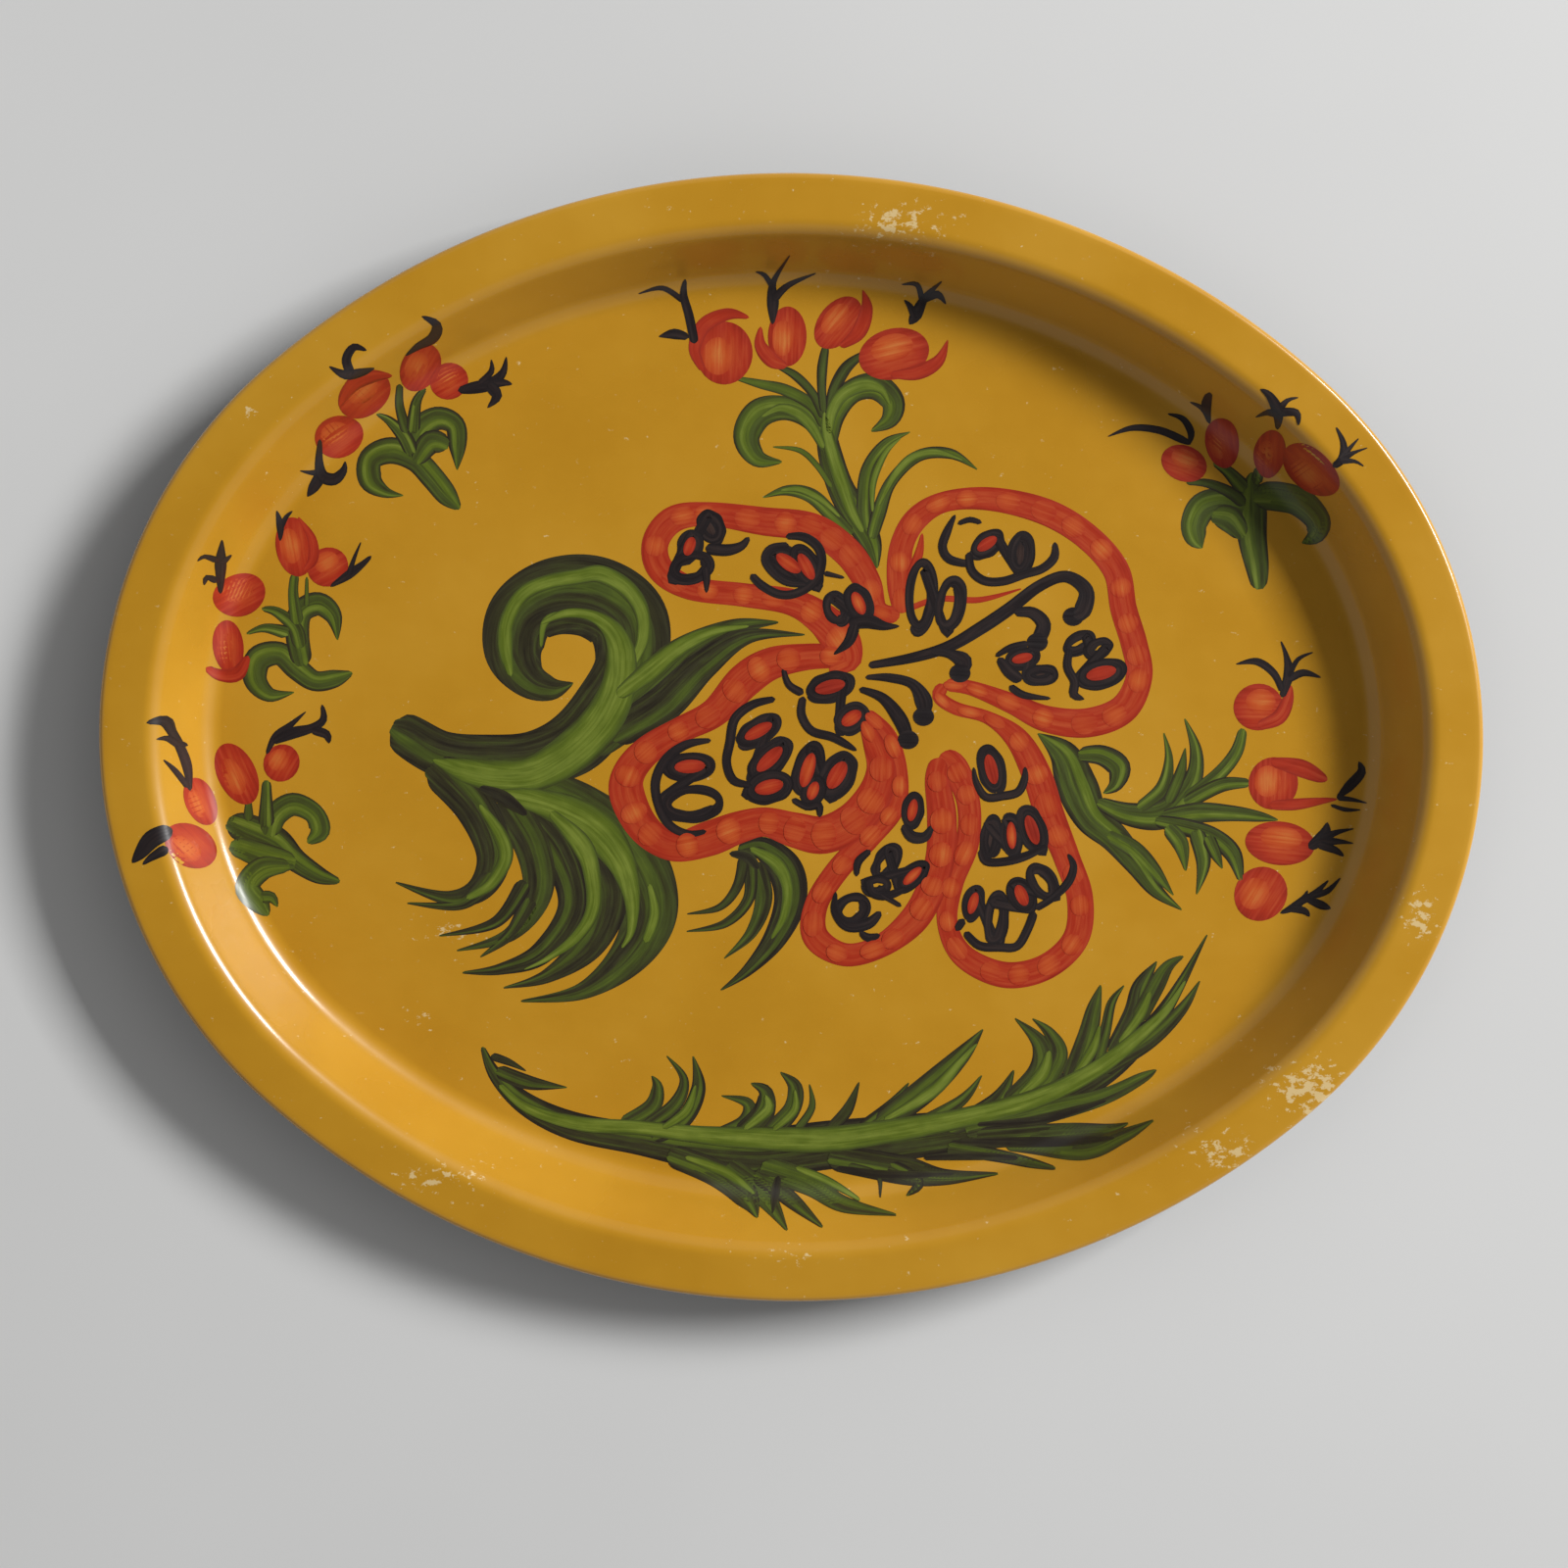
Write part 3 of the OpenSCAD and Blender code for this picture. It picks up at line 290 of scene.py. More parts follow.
def floor_material():
    n = Nodes("pale_floor")
    place = n.place()
    return n.surface(
        Base_Color=n.ramp(n.noise(place, 3.0), [(0.3, srgb(216, 216, 215)), (0.7, srgb(222, 222, 221))]),
        Roughness=0.9,
    )


GREEN_STOPS = [
    (0.0, srgb(38, 32, 24)),
    (0.22, srgb(54, 52, 28)),
    (0.5, srgb(72, 84, 28)),
    (0.75, srgb(92, 108, 28)),
    (1.0, srgb(126, 140, 50)),
]
RED_STOPS = [
    (0.0, srgb(132, 30, 18)),
    (0.35, srgb(174, 48, 22)),
    (0.7, srgb(198, 84, 34)),
    (1.0, srgb(210, 126, 56)),
]
BLACK_STOPS = [
    (0.0, srgb(22, 17, 19)),
    (0.5, srgb(34, 27, 28)),
    (1.0, srgb(66, 47, 40)),
]


# ---------------------------------------------------------------- shell

ARC_STEPS = 10
CURL_STEPS = 18
WALL_ROWS = 8
FLANGE_ROWS = 8
AROUND = 480
FLOOR_RINGS = 36
# Rise of the back's black lacquer from row to row, beyond the outermost row of the curl
BACK_STEP = 0.25


def section_points():
    """The closed section outside the flat floor, as (inset, height). It runs from the floor's upper edge
    over the flange, around the curl, and back under to the floor's lower edge."""
    points = []

    def arc(centre_inset, centre_height, radius, start, end, steps=ARC_STEPS):
        for i in range(steps + 1):
            a = start + (end - start) * i / steps
            points.append((centre_inset - radius * math.cos(a), centre_height + radius * math.sin(a)))

    right = math.pi / 2
    curl_height = HEIGHT - CURL_RADIUS
    # Angles are measured from the outward direction, upwards
    arc(FLOOR_INSET, SHEET + COVE_RADIUS, COVE_RADIUS, -right, -(right - WALL_SLOPE))
    foot, top = points[-1], (SHOULDER_END, HEIGHT - SHOULDER_DROP)
    for i in range(1, WALL_ROWS):
        t = i / WALL_ROWS
        points.append((foot[0] + (top[0] - foot[0]) * t, foot[1] + (top[1] - foot[1]) * t))
    arc(FLANGE_WIDTH, HEIGHT - SHOULDER_RADIUS, SHOULDER_RADIUS, right + WALL_SLOPE, right)
    for i in range(1, FLANGE_ROWS):
        points.append((FLANGE_WIDTH + (CURL_RADIUS - FLANGE_WIDTH) * i / FLANGE_ROWS, HEIGHT))
    arc(CURL_RADIUS, curl_height, CURL_RADIUS, right, right - CURL_TURN, CURL_STEPS)
    arc(CURL_RADIUS, curl_height, CURL_RADIUS - SHEET, right - CURL_TURN, right, CURL_STEPS)
    arc(FLANGE_WIDTH, HEIGHT - SHOULDER_RADIUS, SHOULDER_RADIUS - SHEET, right, right + WALL_SLOPE)
    arc(FLOOR_INSET, SHEET + COVE_RADIUS, COVE_RADIUS + SHEET, -(right - WALL_SLOPE), -right)
    return points


# Worn places on the face, as (x, y, reach along x, reach along y, strength)
WORN = [
    (176, -112, 14, 10, 1.0),
    (146, -134, 12, 7, 0.9),
    (211, -52, 6, 11, 0.9),
    (30, 172, 16, 8, 0.8),
    (-115, -147, 18, 6, 0.7),
    (-125, -97, 5, 4, 0.6),
    (-180, 107, 5, 5, 0.5),
    (-116, -68, 12, 4, 0.7),
    (2, -172, 10, 4, 0.6),
]


def wear_at(x, y):
    worn = 0.0
    for cx, cy, rx, ry, strength in WORN:
        worn = max(worn, strength * math.exp(-(((x - cx) / rx) ** 2 + ((y - cy) / ry) ** 2)))
    return worn


def floor_rows(height):
    """Rows of the flat floor at this height, from its middle outwards."""
    edge = [oval_point(2 * math.pi * i / AROUND, FLOOR_INSET) for i in range(AROUND)]
    return [[(x * r / FLOOR_RINGS, y * r / FLOOR_RINGS, height) for x, y in edge]
            for r in range(1, FLOOR_RINGS + 1)]


def build_shell(material):
    section = section_points()
    outermost = min(range(len(section)), key=lambda i: section[i][0])
    angles = [2 * math.pi * i / AROUND for i in range(AROUND)]
    rows = floor_rows(SHEET)
    back = [0.0] * len(rows)
    for i, (inset, height) in enumerate(section[1:], 1):
        rows.append([(*oval_point(a, inset), height) for a in angles])
        back.append(min(1.0, max(0.0, BACK_STEP * (i - outermost))))
    underside = floor_rows(0.0)[-2::-1]
    rows += underside
    back += [1.0] * len(underside)
    verts = [(0, 0, SHEET)]
    backs = [0.0]
    for row, b in zip(rows, back):
        verts += row
        backs += [b] * AROUND
    verts.append((0, 0, 0))
    backs.append(1.0)
    faces = []
    last = len(verts) - 1
    for i in range(AROUND):
        j = (i + 1) % AROUND
        faces.append((0, 1 + i, 1 + j))
        for r in range(len(rows) - 1):
            a, b = 1 + r * AROUND, 1 + (r + 1) * AROUND
            faces.append((a + i, b + i, b + j, a + j))
        end = 1 + (len(rows) - 1) * AROUND
        faces.append((last, end + j, end + i))
    shell = new_object("tray_shell", verts, faces, material)
    give_floats(shell, "back", backs)
    wears = [wear_at(x, y) if b < 0.5 else 0.0 for (x, y, z), b in zip(verts, backs)]
    give_floats(shell, "wear", wears)
    return shell


# ---------------------------------------------------------------- brushwork

# Sample spacing along and across a stroke, the rise of each stroke over the one before it, the rise from
# row to row that lets a stroke cross itself, and the depth to which a film's underside is sunk
STROKE_STEP = 1.3
COLUMN_WIDTH = 1.4
LAYER_STEP = 0.0015
ROW_STEP = 0.00005
BURIED = 0.02
# How late across a stroke its tone turns to the tone of its edge
EDGE_FALLOFF = 4
# The least width of a stroke, and the share of its width that its ends keep, squared
LEAST_WIDTH = 0.3
TIP_SHARE = 0.04
# The share of an oval's turn that is left off at each of its ends, so that its last row isn't a point
OVAL_END = 0.02


def curve_value(a, b, c, d, t):
    """The value at t, from 0 at b to 1 at c, of a smooth curve through four values."""
    bend = 2 * a - 5 * b + 4 * c - d
    twist = 3 * b - a - 3 * c + d
    return (2 * b + (c - a) * t + bend * t ** 2 + twist * t ** 3) / 2


def smooth_path(points):
    """[x, y, width] samples about STROKE_STEP apart along a smooth curve through the points."""
    path = []
    for i in range(len(points) - 1):
        p0, p1, p2 = points[max(i - 1, 0)], points[i], points[i + 1]
        p3 = points[min(i + 2, len(points) - 1)]
        steps = max(3, math.ceil(math.dist(p1[:2], p2[:2]) / STROKE_STEP))
        for s in range(steps):
            path.append([curve_value(*values, s / steps) for values in zip(p0, p1, p2, p3)])
    path.append(list(points[-1]))
    return path


def round_off(path):
    """Factors on the widths along a path that round both its ends like the tip of a brush."""
    before = [0.0]
    for a, b in zip(path, path[1:]):
        before.append(before[-1] + math.dist(a[:2], b[:2]))
    factors = []
    for i, gone in enumerate(before):
        factor = 1.0
        for end, d in ((path[0], gone), (path[-1], before[-1] - gone)):
            radius = end[2] / 2
            if d < radius:
                factor *= math.sqrt(max(TIP_SHARE, 1 - (1 - d / radius) ** 2))
        factors.append(factor)
    return factors


# A scribbled loop: the angles between which it begins, its turns around the seed, the points along it, how
# far it spirals inwards, how its width varies, and the widths of a scribble's two ends, as shares
LOOP_START = (2.2, 3.6)
LOOP_TURNS = 1.55
LOOP_POINTS = 22
LOOP_SHRINK = 0.3
LOOP_WIDTHS = (0.9, 1.3)
SCRIBBLE_ENDS = (0.5, 0.4)


class Paint:
    """One colour of one painted group: strokes and ovals on the tray's face, each a little over the last."""

    def __init__(self, name, base, seed):
        self.name = name
        self.base = base
        self.random = random.Random(seed)
        self.layer = 0
        self.verts, self.faces, self.tones, self.brush = [], [], [], []

    def lay(self, rings):
        """Adds one closed film. rings hold rows of (x, y, across, along, tone), edge to edge."""
        columns = len(rings[0])
        rise = self.base + self.layer * LAYER_STEP
        seed = self.random.random() * 100
        self.layer += 1
        start = len(self.verts)
        for row in rings:
            rise += ROW_STEP
            top, bottom = [], []
            for c, (x, y, across, along, tone) in enumerate(row):
                z, slope = face_at(x, y)
                top.append(((x, y, z + rise / slope), (across, along, seed), tone))
                bottom.append(((x, y, z - BURIED / slope), (across, along, seed), tone))
            for place, brush, tone in top + bottom[::-1]:
                self.verts.append(place)
                self.brush.append(brush)
                self.tones.append(tone)
        loop = 2 * columns
        for r in range(len(rings) - 1):
            a, b = start + r * loop, start + (r + 1) * loop
            for c in range(loop):
                d = (c + 1) % loop
                self.faces.append((a + c, a + d, b + d, b + c))
        self.faces.append(tuple(start + c for c in reversed(range(loop))))
        self.faces.append(tuple(start + (len(rings) - 1) * loop + c for c in range(loop)))

    def stroke(self, points, tones):
        """A brush stroke through [x, y, width]. tones are along its left edge, middle and right edge."""
        path = smooth_path(points)
        widest = max(p[2] for p in path)
        columns = max(5, math.ceil(widest / COLUMN_WIDTH) + 1)
        spread = [2 * c / (columns - 1) - 1 for c in range(columns)]
        reach = round_off(path)
        rings = []
        along = 0.0
        for i, (x, y, width) in enumerate(path):
            before, after = path[max(i - 1, 0)], path[min(i + 1, len(path) - 1)]
            dx, dy = after[0] - before[0], after[1] - before[1]
            length = math.hypot(dx, dy)
            nx, ny = -dy / length, dx / length
            along += math.dist(before[:2], (x, y))
            half = max(width * reach[i], LEAST_WIDTH) / 2
            row = []
            for s in spread:
                left, middle, right = tones
                side = left if s > 0 else right
                tone = middle + (side - middle) * abs(s) ** EDGE_FALLOFF
                row.append((x + nx * s * half, y + ny * s * half, s * half, along, tone))
            rings.append(row)
        self.lay(rings)

    def oval(self, x, y, long, wide, turn, tones):
        """A filled oval. tones are at its middle and at its edge."""
        angle = math.radians(turn)
        c, s = math.cos(angle), math.sin(angle)
        columns = max(7, math.ceil(2 * wide / COLUMN_WIDTH) + 1)
        spread = [2 * k / (columns - 1) - 1 for k in range(columns)]
        rows = max(9, math.ceil(2 * long / STROKE_STEP))
        rings = []
        for r in range(rows + 1):
            a = math.pi * (OVAL_END + (1 - 2 * OVAL_END) * r / rows)
            u = -long * math.cos(a)
            half = wide * math.sin(a)
            row = []
            for k in spread:
                v = half * k
                far = math.hypot(u / long, v / wide)
                tone = tones[0] + (tones[1] - tones[0]) * min(1.0, far) ** 2
                row.append((x + u * c - v * s, y + u * s + v * c, v, u, tone))
            rings.append(row)
        self.lay(rings)

    def scribble(self, ovals, brush, tones):
        """One long stroke that loops around each oval in turn, as seeds are drawn."""
        points = []
        for x, y, long, wide, turn in ovals:
            c, s = math.cos(math.radians(turn)), math.sin(math.radians(turn))
            begin = self.random.uniform(*LOOP_START)
            for k in range(LOOP_POINTS):
                a = begin + LOOP_TURNS * 2 * math.pi * k / (LOOP_POINTS - 1)
                shrink = 1 - LOOP_SHRINK * k / (LOOP_POINTS - 1)
                u = (long - brush / 2) * shrink * math.cos(a)
                v = (wide - brush / 2) * shrink * math.sin(a)
                width = brush * self.random.uniform(*LOOP_WIDTHS)
                points.append((x + u * c - v * s, y + u * s + v * c, width))
        points[0] = (*points[0][:2], brush * SCRIBBLE_ENDS[0])
        points[-1] = (*points[-1][:2], brush * SCRIBBLE_ENDS[1])
        self.stroke(points, tones)

    def finish(self, material, slot, *nodes):
        piece = new_object(self.name, self.verts, self.faces, material)
        give_vectors(piece, "brush", self.brush)
        give_floats(piece, "tone", self.tones)
        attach(piece, "root")
        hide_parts(*nodes)


# ---------------------------------------------------------------- painting
# Strokes are (x, y, width) points in the order they were brushed. Buds and seeds are ovals, as
# (x, y, half length, half width, turn in degrees).

TOP_BUDS = [
    (-26, 130, 10.5, 9.5, 90), (-5, 136, 10, 6.5, 90), (12, 141, 10, 6.5, 52), (31, 131, 12, 8.5, 15),
]
TOP_PETALS = [
    [(-18, 142, 1), (-25, 143, 4), (-33, 139, 5), (-36, 131, 4), (-33, 124, 2)],
    [(-14, 139, 1), (-14, 133, 4), (-10, 128, 5), (-5, 126, 2)],
    [(20, 152, 0.5), (21.5, 146, 4), (19, 138, 5), (13, 133, 2)],
    [(49, 136, 0.5), (46, 129, 4), (39, 125, 5), (30, 124, 2)],
]
TOP_LEAVES = [
    [(27, 59, 1), (25, 67, 7), (20, 76, 10), (14, 86, 9), (10, 98, 8), (8, 110, 5), (7, 114, 2)],
    [(9, 98, 6), (11, 110, 8), (17, 118, 8), (25, 120, 9), (31, 115, 8), (30, 109, 6), (24, 105, 1)],
    [(10, 98, 5), (4, 108, 7), (-5, 112, 8), (-14, 110, 10), (-18, 102, 9), (-14, 95, 6), (-6, 94, 1)],
    [(-23, 122, 1), (-14, 120, 3), (-5, 118, 4), (4, 113, 4), (8, 106, 3)],
    [(-8, 126, 1.5), (-2, 123, 3), (4, 117, 3), (8, 109, 3)],
    [(8, 133, 2.5), (7, 126, 3.5), (7, 118, 3), (8, 111, 3)],
    [(21, 131, 2), (15, 126, 4), (11, 118, 4), (10, 110, 3)],
    [(-12, 82, 0.5), (-4, 84.5, 3.5), (4, 83, 5), (11, 77, 5), (18, 70, 4)],
    [(-9, 99, 0.5), (0, 98, 1.8), (6, 93, 2), (11, 86, 2)],
    [(37, 105, 0.4), (29, 101, 3.5), (23, 92, 4.5), (22, 80, 5), (23, 72, 5)],
    [(60, 93, 0.4), (51, 98, 3.5), (40, 97, 4), (31, 88, 4), (27, 77, 5), (25, 69, 4)],
]
TOP_SPRIGS = [
    [(-36, 133, 3), (-38, 142, 3), (-40, 149, 2.5), (-39.5, 154, 1)],
    [(-38, 135, 2), (-43, 136, 3.5), (-48, 135, 0.5)],
    [(-40, 147, 2), (-47, 151, 1.6), (-55, 149, 0.4)],
    [(-10, 140, 1), (-10, 147, 4), (-10, 154, 2), (-5, 162, 0.4)],
    [(-10, 148, 3), (-5, 153, 2), (4, 157, 0.4)],
    [(-10, 152, 2), (-13, 156, 1.5), (-16, 157, 0.4)],
    [(36, 141, 1), (38, 144, 4), (41, 150, 2.5), (46, 155, 0.5)],
    [(38, 143, 3), (36, 147, 2), (34, 149, 0.5)],
    [(40, 149, 2.5), (45, 151, 2.5), (48, 148, 0.5)],
    [(40, 149, 2), (38, 154, 1.6), (33, 154, 0.4)],
]
TOP_LIGHTS = [
    [(22, 71, 2), (18, 78, 4), (15, 86, 5), (12, 94, 5), (9, 104, 4), (8, 111, 1)],
    [(10, 104, 2), (10.5, 111, 4), (14, 117, 4.5), (21, 120.5, 5), (27, 119, 3), (30, 114, 1)],
    [(8, 99, 2), (4, 106, 4), (-1, 110.5, 4), (-7, 112, 3), (-13, 109, 1)],
    [(27, 80, 1), (32, 90, 2.5), (38, 96.5, 3), (46, 98.5, 2.5), (55, 96, 0.5)],
    [(25, 78, 1), (25, 88, 2.5), (29, 98, 2), (34, 103, 0.5)],
    [(-6, 84.5, 1), (0, 85, 2.5), (7, 82, 2.5), (14, 76, 1)],
]

UPPER_LEFT_BUDS = [
    (-154, 99, 8, 6.5, 35), (-145, 113, 9.5, 6, 42), (-127, 122.5, 8.5, 5.5, 55), (-118, 118.5, 6.5, 6, 30),
]
UPPER_LEFT_PETALS = [
    [(-153, 109, 1), (-148, 116, 4), (-142, 119, 4), (-136, 119.5, 1)],
]
UPPER_LEFT_LEAVES = [
    [(-114, 76, 2), (-118, 80, 7), (-123, 86, 8), (-129, 92, 8), (-137, 95, 9), (-144, 92, 8),
        (-144, 85, 8), (-139, 81, 4), (-133, 80, 0.5)],
    [(-128, 92, 7), (-128, 101, 9), (-122, 106, 8), (-116, 104, 7), (-115, 97, 6), (-115, 89, 0.5)],
    [(-129, 91, 5), (-124, 98, 8), (-118, 97, 6)],
    [(-142, 107, 1), (-138, 105, 3), (-133, 100, 5), (-130, 94, 5)],
    [(-134, 117, 2), (-134.5, 110, 3), (-132, 101, 4)],
    [(-126, 116, 1.5), (-129, 111, 3.5), (-130, 101, 5)],
]
UPPER_LEFT_SPRIGS = [
    [(-160, 98, 1), (-161, 91, 2.5), (-160, 86, 4), (-156, 85, 4), (-153, 88, 2.5), (-152.5, 91, 0.5)],
    [(-160, 87, 3), (-164, 87, 1.5), (-167, 87.5, 0.4)],
    [(-160, 87, 4), (-163, 82, 3.5), (-165, 79, 0.6)],
    [(-155, 121.5, 0.5), (-150, 119, 3), (-145, 120, 2.5), (-141, 121.5, 0.5)],
    [(-148, 119, 3), (-149.5, 124, 3), (-147, 128, 2.5), (-143, 127, 0.8)],
    [(-131, 126, 0.5), (-127, 129, 2), (-122, 132, 3), (-120.5, 136, 3), (-125, 138.5, 0.8)],
    [(-115, 115.5, 2), (-110, 116.5, 4), (-104, 118, 4), (-100, 122, 2.5), (-99, 127, 0.5)],
    [(-108, 118, 2), (-104, 122, 2), (-104, 126, 0.4)],
    [(-105, 118, 4), (-100, 118.5, 2.5), (-97, 118, 0.8)],
    [(-105, 118, 4), (-102, 114, 3.5), (-105, 110, 0.6)],
]

MIDDLE_LEFT_BUDS = [
    (-187, 45.5, 8.5, 7, 30), (-191, 28, 9, 5, 95), (-169, 62, 10, 6.5, 100), (-158, 55.5, 7, 6.5, 30),
]
MIDDLE_LEFT_PETALS = [
    [(-198, 21, 2), (-194, 18.5, 4), (-188, 19, 5), (-184.5, 25, 2)],
    [(-168, 72, 0.5), (-163.5, 65, 3), (-163, 58, 3.5), (-166, 54, 1)],
]
MIDDLE_LEFT_LEAVES = [
    [(-149.5, 20, 1.5), (-155, 18, 6), (-162, 17, 7), (-168, 21, 8), (-174, 26, 8), (-181, 24, 9),
        (-182, 17, 8), (-177, 12, 5), (-169, 13, 0.5)],
    [(-166, 22, 7), (-168, 32, 8), (-167, 40, 8), (-161, 43, 8), (-156, 39, 6), (-154.5, 31, 0.6)],
    [(-180, 41, 1.5), (-175, 40, 3.5), (-169, 35, 5), (-167, 28, 5)],
    [(-185, 32.5, 1), (-179, 34.5, 3), (-171, 33, 5)],
    [(-169, 53, 3), (-169.5, 46, 3.5), (-168, 36, 5)],
    [(-165, 52, 1), (-165, 47, 1.4), (-165, 42, 2)],
]
MIDDLE_LEFT_SPRIGS = [
    [(-193, 46, 1), (-192.5, 52, 2.5), (-192, 57, 3), (-191, 64, 0.5)],
    [(-192.5, 57, 2.5), (-196, 58.5, 1.5), (-198, 57, 0.4)],
    [(-192, 56, 2), (-190, 58, 1.2), (-189, 59, 0.4)],
    [(-193, 50, 2.5), (-196, 51.5, 1.8), (-197, 49, 0.5)],
    [(-174, 64, 0.8), (-174, 69, 2.5), (-175, 74, 0.6)],
    [(-174, 68, 2), (-172, 72, 1.5), (-170, 74, 0.5)],
    [(-157, 49, 1), (-151, 53, 3), (-146, 57, 2), (-143.5, 59.5, 1)],
    [(-151, 53, 2), (-149, 59, 1.2), (-147, 64, 0.4)],
]

LOWER_LEFT_BUDS = [
    (-188, -15, 11, 6.5, 115), (-173, -11, 6.5, 6, 60), (-199, -24, 8.5, 4, 110), (-201, -38, 9, 5.5, 130),
]
LOWER_LEFT_LEAVES = [
    [(-153, -51, 2), (-160, -49, 6), (-168, -44, 8), (-175, -38, 11), (-184, -34, 11), (-191, -31, 7)],
    [(-177, -36, 7), (-175, -29, 8), (-169, -25, 8), (-162, -28, 7), (-160, -34, 7), (-164, -38, 2)],
    [(-178, -17, 3), (-178, -23, 4), (-178, -33, 6)],
    [(-168, -45, 6), (-178, -43, 9), (-190, -39, 6)],
    [(-170, -46, 4), (-179, -47, 8), (-184, -53, 8), (-180, -59, 7), (-177, -63, 2)],
    [(-180, -57, 5), (-176, -57, 4), (-174, -60, 0.8)],
    [(-184, -24, 2), (-184, -31, 4)],
]
LOWER_LEFT_SPRIGS = [
    [(-202, -20, 1), (-203, -12, 2.5), (-205, -5, 2.5), (-207, 0, 2.5), (-209, 4, 3.5), (-214, 3.5, 1)],
    [(-205, -5, 2), (-208, -2, 2), (-211, -2, 0.5)],
    [(-205, -4, 2.5), (-203, -5, 0.8)],
    [(-209, -9, 0.4), (-206, -13, 1.5), (-202.5, -19, 1.5)],
    [(-178, -8, 1), (-175, -2, 2.5), (-170, 2, 2), (-165, 6.5, 0.4)],
    [(-176, -4, 2), (-170, -1, 4), (-163, 1, 3), (-159, 4, 2.5), (-159.5, 9, 1)],
    [(-163, 0.5, 3), (-158, -1, 3), (-157, -4, 1)],
    [(-206, -32, 5), (-212, -35, 6), (-216, -40, 4), (-218.5, -43, 0.8)],
    [(-207, -38, 4), (-212, -41, 2.5), (-215, -43.5, 0.8)],
]

UPPER_RIGHT_BUDS = [
    (130, 96.5, 8, 6, -20), (142.5, 103.5, 8.5, 5.5, 105), (157.5, 100, 8, 4.5, 100),
    (170, 95, 11, 5.5, 135),
]
UPPER_RIGHT_LEAVES = [
    [(157, 54.5, 5), (156, 62, 8), (154, 72, 10), (153, 82, 11), (153, 90, 6), (153, 94, 1)],
    [(151, 82, 9), (144, 84, 9), (137, 82, 10), (134, 76, 9), (135, 71, 7), (137, 68, 1)],
    [(140, 79, 6), (146, 78, 9), (151, 72, 5)],
    [(154, 86, 9), (162, 86, 10), (169, 84, 9), (175, 78, 7), (175, 73, 6), (171, 70.5, 0.8)],
    [(131, 90, 1.5), (138, 90, 3), (146, 87, 4), (151, 83, 4)],
    [(140, 97, 2), (145, 94, 4), (151, 88, 6)],
    [(155, 96, 2), (155, 90, 5)],
]
UPPER_RIGHT_SPRIGS = [
    [(104, 105, 0.4), (112, 108, 2), (121, 107.5, 2.5), (129, 104.5, 2.5), (132, 103, 1)],
    [(124, 113, 0.6), (129, 111.5, 2), (132, 107, 2.5), (131.5, 103, 1)],
    [(131, 117, 0.5), (135, 115, 1.5), (138, 111, 1.5)],
    [(136, 120, 2), (136, 116, 3), (138, 110, 1)],
    [(151, 121, 0.8), (154, 119, 2.5), (157, 114, 3.5), (158, 108, 1)],
    [(163.5, 118.5, 0.5), (160, 117.5, 1.5), (157, 114, 3)],
    [(164, 109.5, 0.8), (163, 113.5, 2.5), (157, 113.5, 3)],
    [(151, 112, 0.5), (154, 113.5, 2), (157, 113, 3)],
    [(176, 96, 2), (179, 99, 3), (179, 104, 2), (176.5, 109, 0.6)],
    [(178, 98, 3), (181, 102, 1.5), (184, 105.5, 0.4)],
    [(179, 99, 3), (183, 101, 1.2), (187, 102.5, 0.4)],
    [(178, 98, 2.5), (183, 98, 1.2), (186, 96.5, 0.4)],
]

RIGHT_BUDS = [
    (158, 14.5, 8.5, 8, 0), (164, -11.5, 9, 8.5, 90), (167, -32, 12, 7.5, -5), (161, -49.5, 9.5, 9, 60),
]
RIGHT_PETALS = [
    [(158, 8, 3), (165, 11, 5), (168, 17, 4), (169, 22, 0.8)],
    [(163, -4, 3), (173, -6, 6), (180, -9, 4), (182.5, -10, 1)],
    [(163, -19, 3), (172, -18.5, 4), (182, -17, 2), (186, -16.5, 0.5)],
]
RIGHT_LEAVES = [
    [(83, 4, 0.6), (92, -3, 10), (97, -14, 14), (102, -24, 12), (110, -31, 10), (118, -40, 8),
        (125, -49, 5), (134, -55.5, 0.6)],
    [(108, -30, 5), (117, -35, 6), (124, -42, 5), (131, -50.5, 0.5)],
    [(97, -3, 5), (105, -3, 7), (111, -7, 8), (110, -13, 5), (106, -16, 0.8)],
    [(104, -19, 4), (115, -23, 8), (126, -23, 10), (133, -17, 9), (137, -9, 6), (137, 0, 4),
        (133, 10, 0.6)],
    [(118, -21, 4), (126, -14, 5), (128, -4, 3), (126, 5, 0.5)],
    [(128, -19, 4), (132, -9, 4), (133.5, 0, 0.5)],
    [(134, -18, 5), (145, -9, 5), (151, -1, 4.5), (153, 7, 3)],
    [(134, -19, 5), (146, -12.5, 5), (156, -11.5, 3)],
    [(126, -24, 5), (138, -22, 7), (150, -22, 5.5), (160, -23, 3.5), (166, -24, 0.6)],
    [(124, -25, 4), (134, -27, 6), (144, -30, 6), (151, -36, 6), (154, -45, 2)],
    [(128, -27, 5), (133, -33, 5.5), (135, -42, 0.8)],
    [(138, -28, 6), (141, -39, 5), (139, -50, 0.6)],
    [(142, -30, 5), (145, -36, 4), (147.5, -41, 0.5)],
]
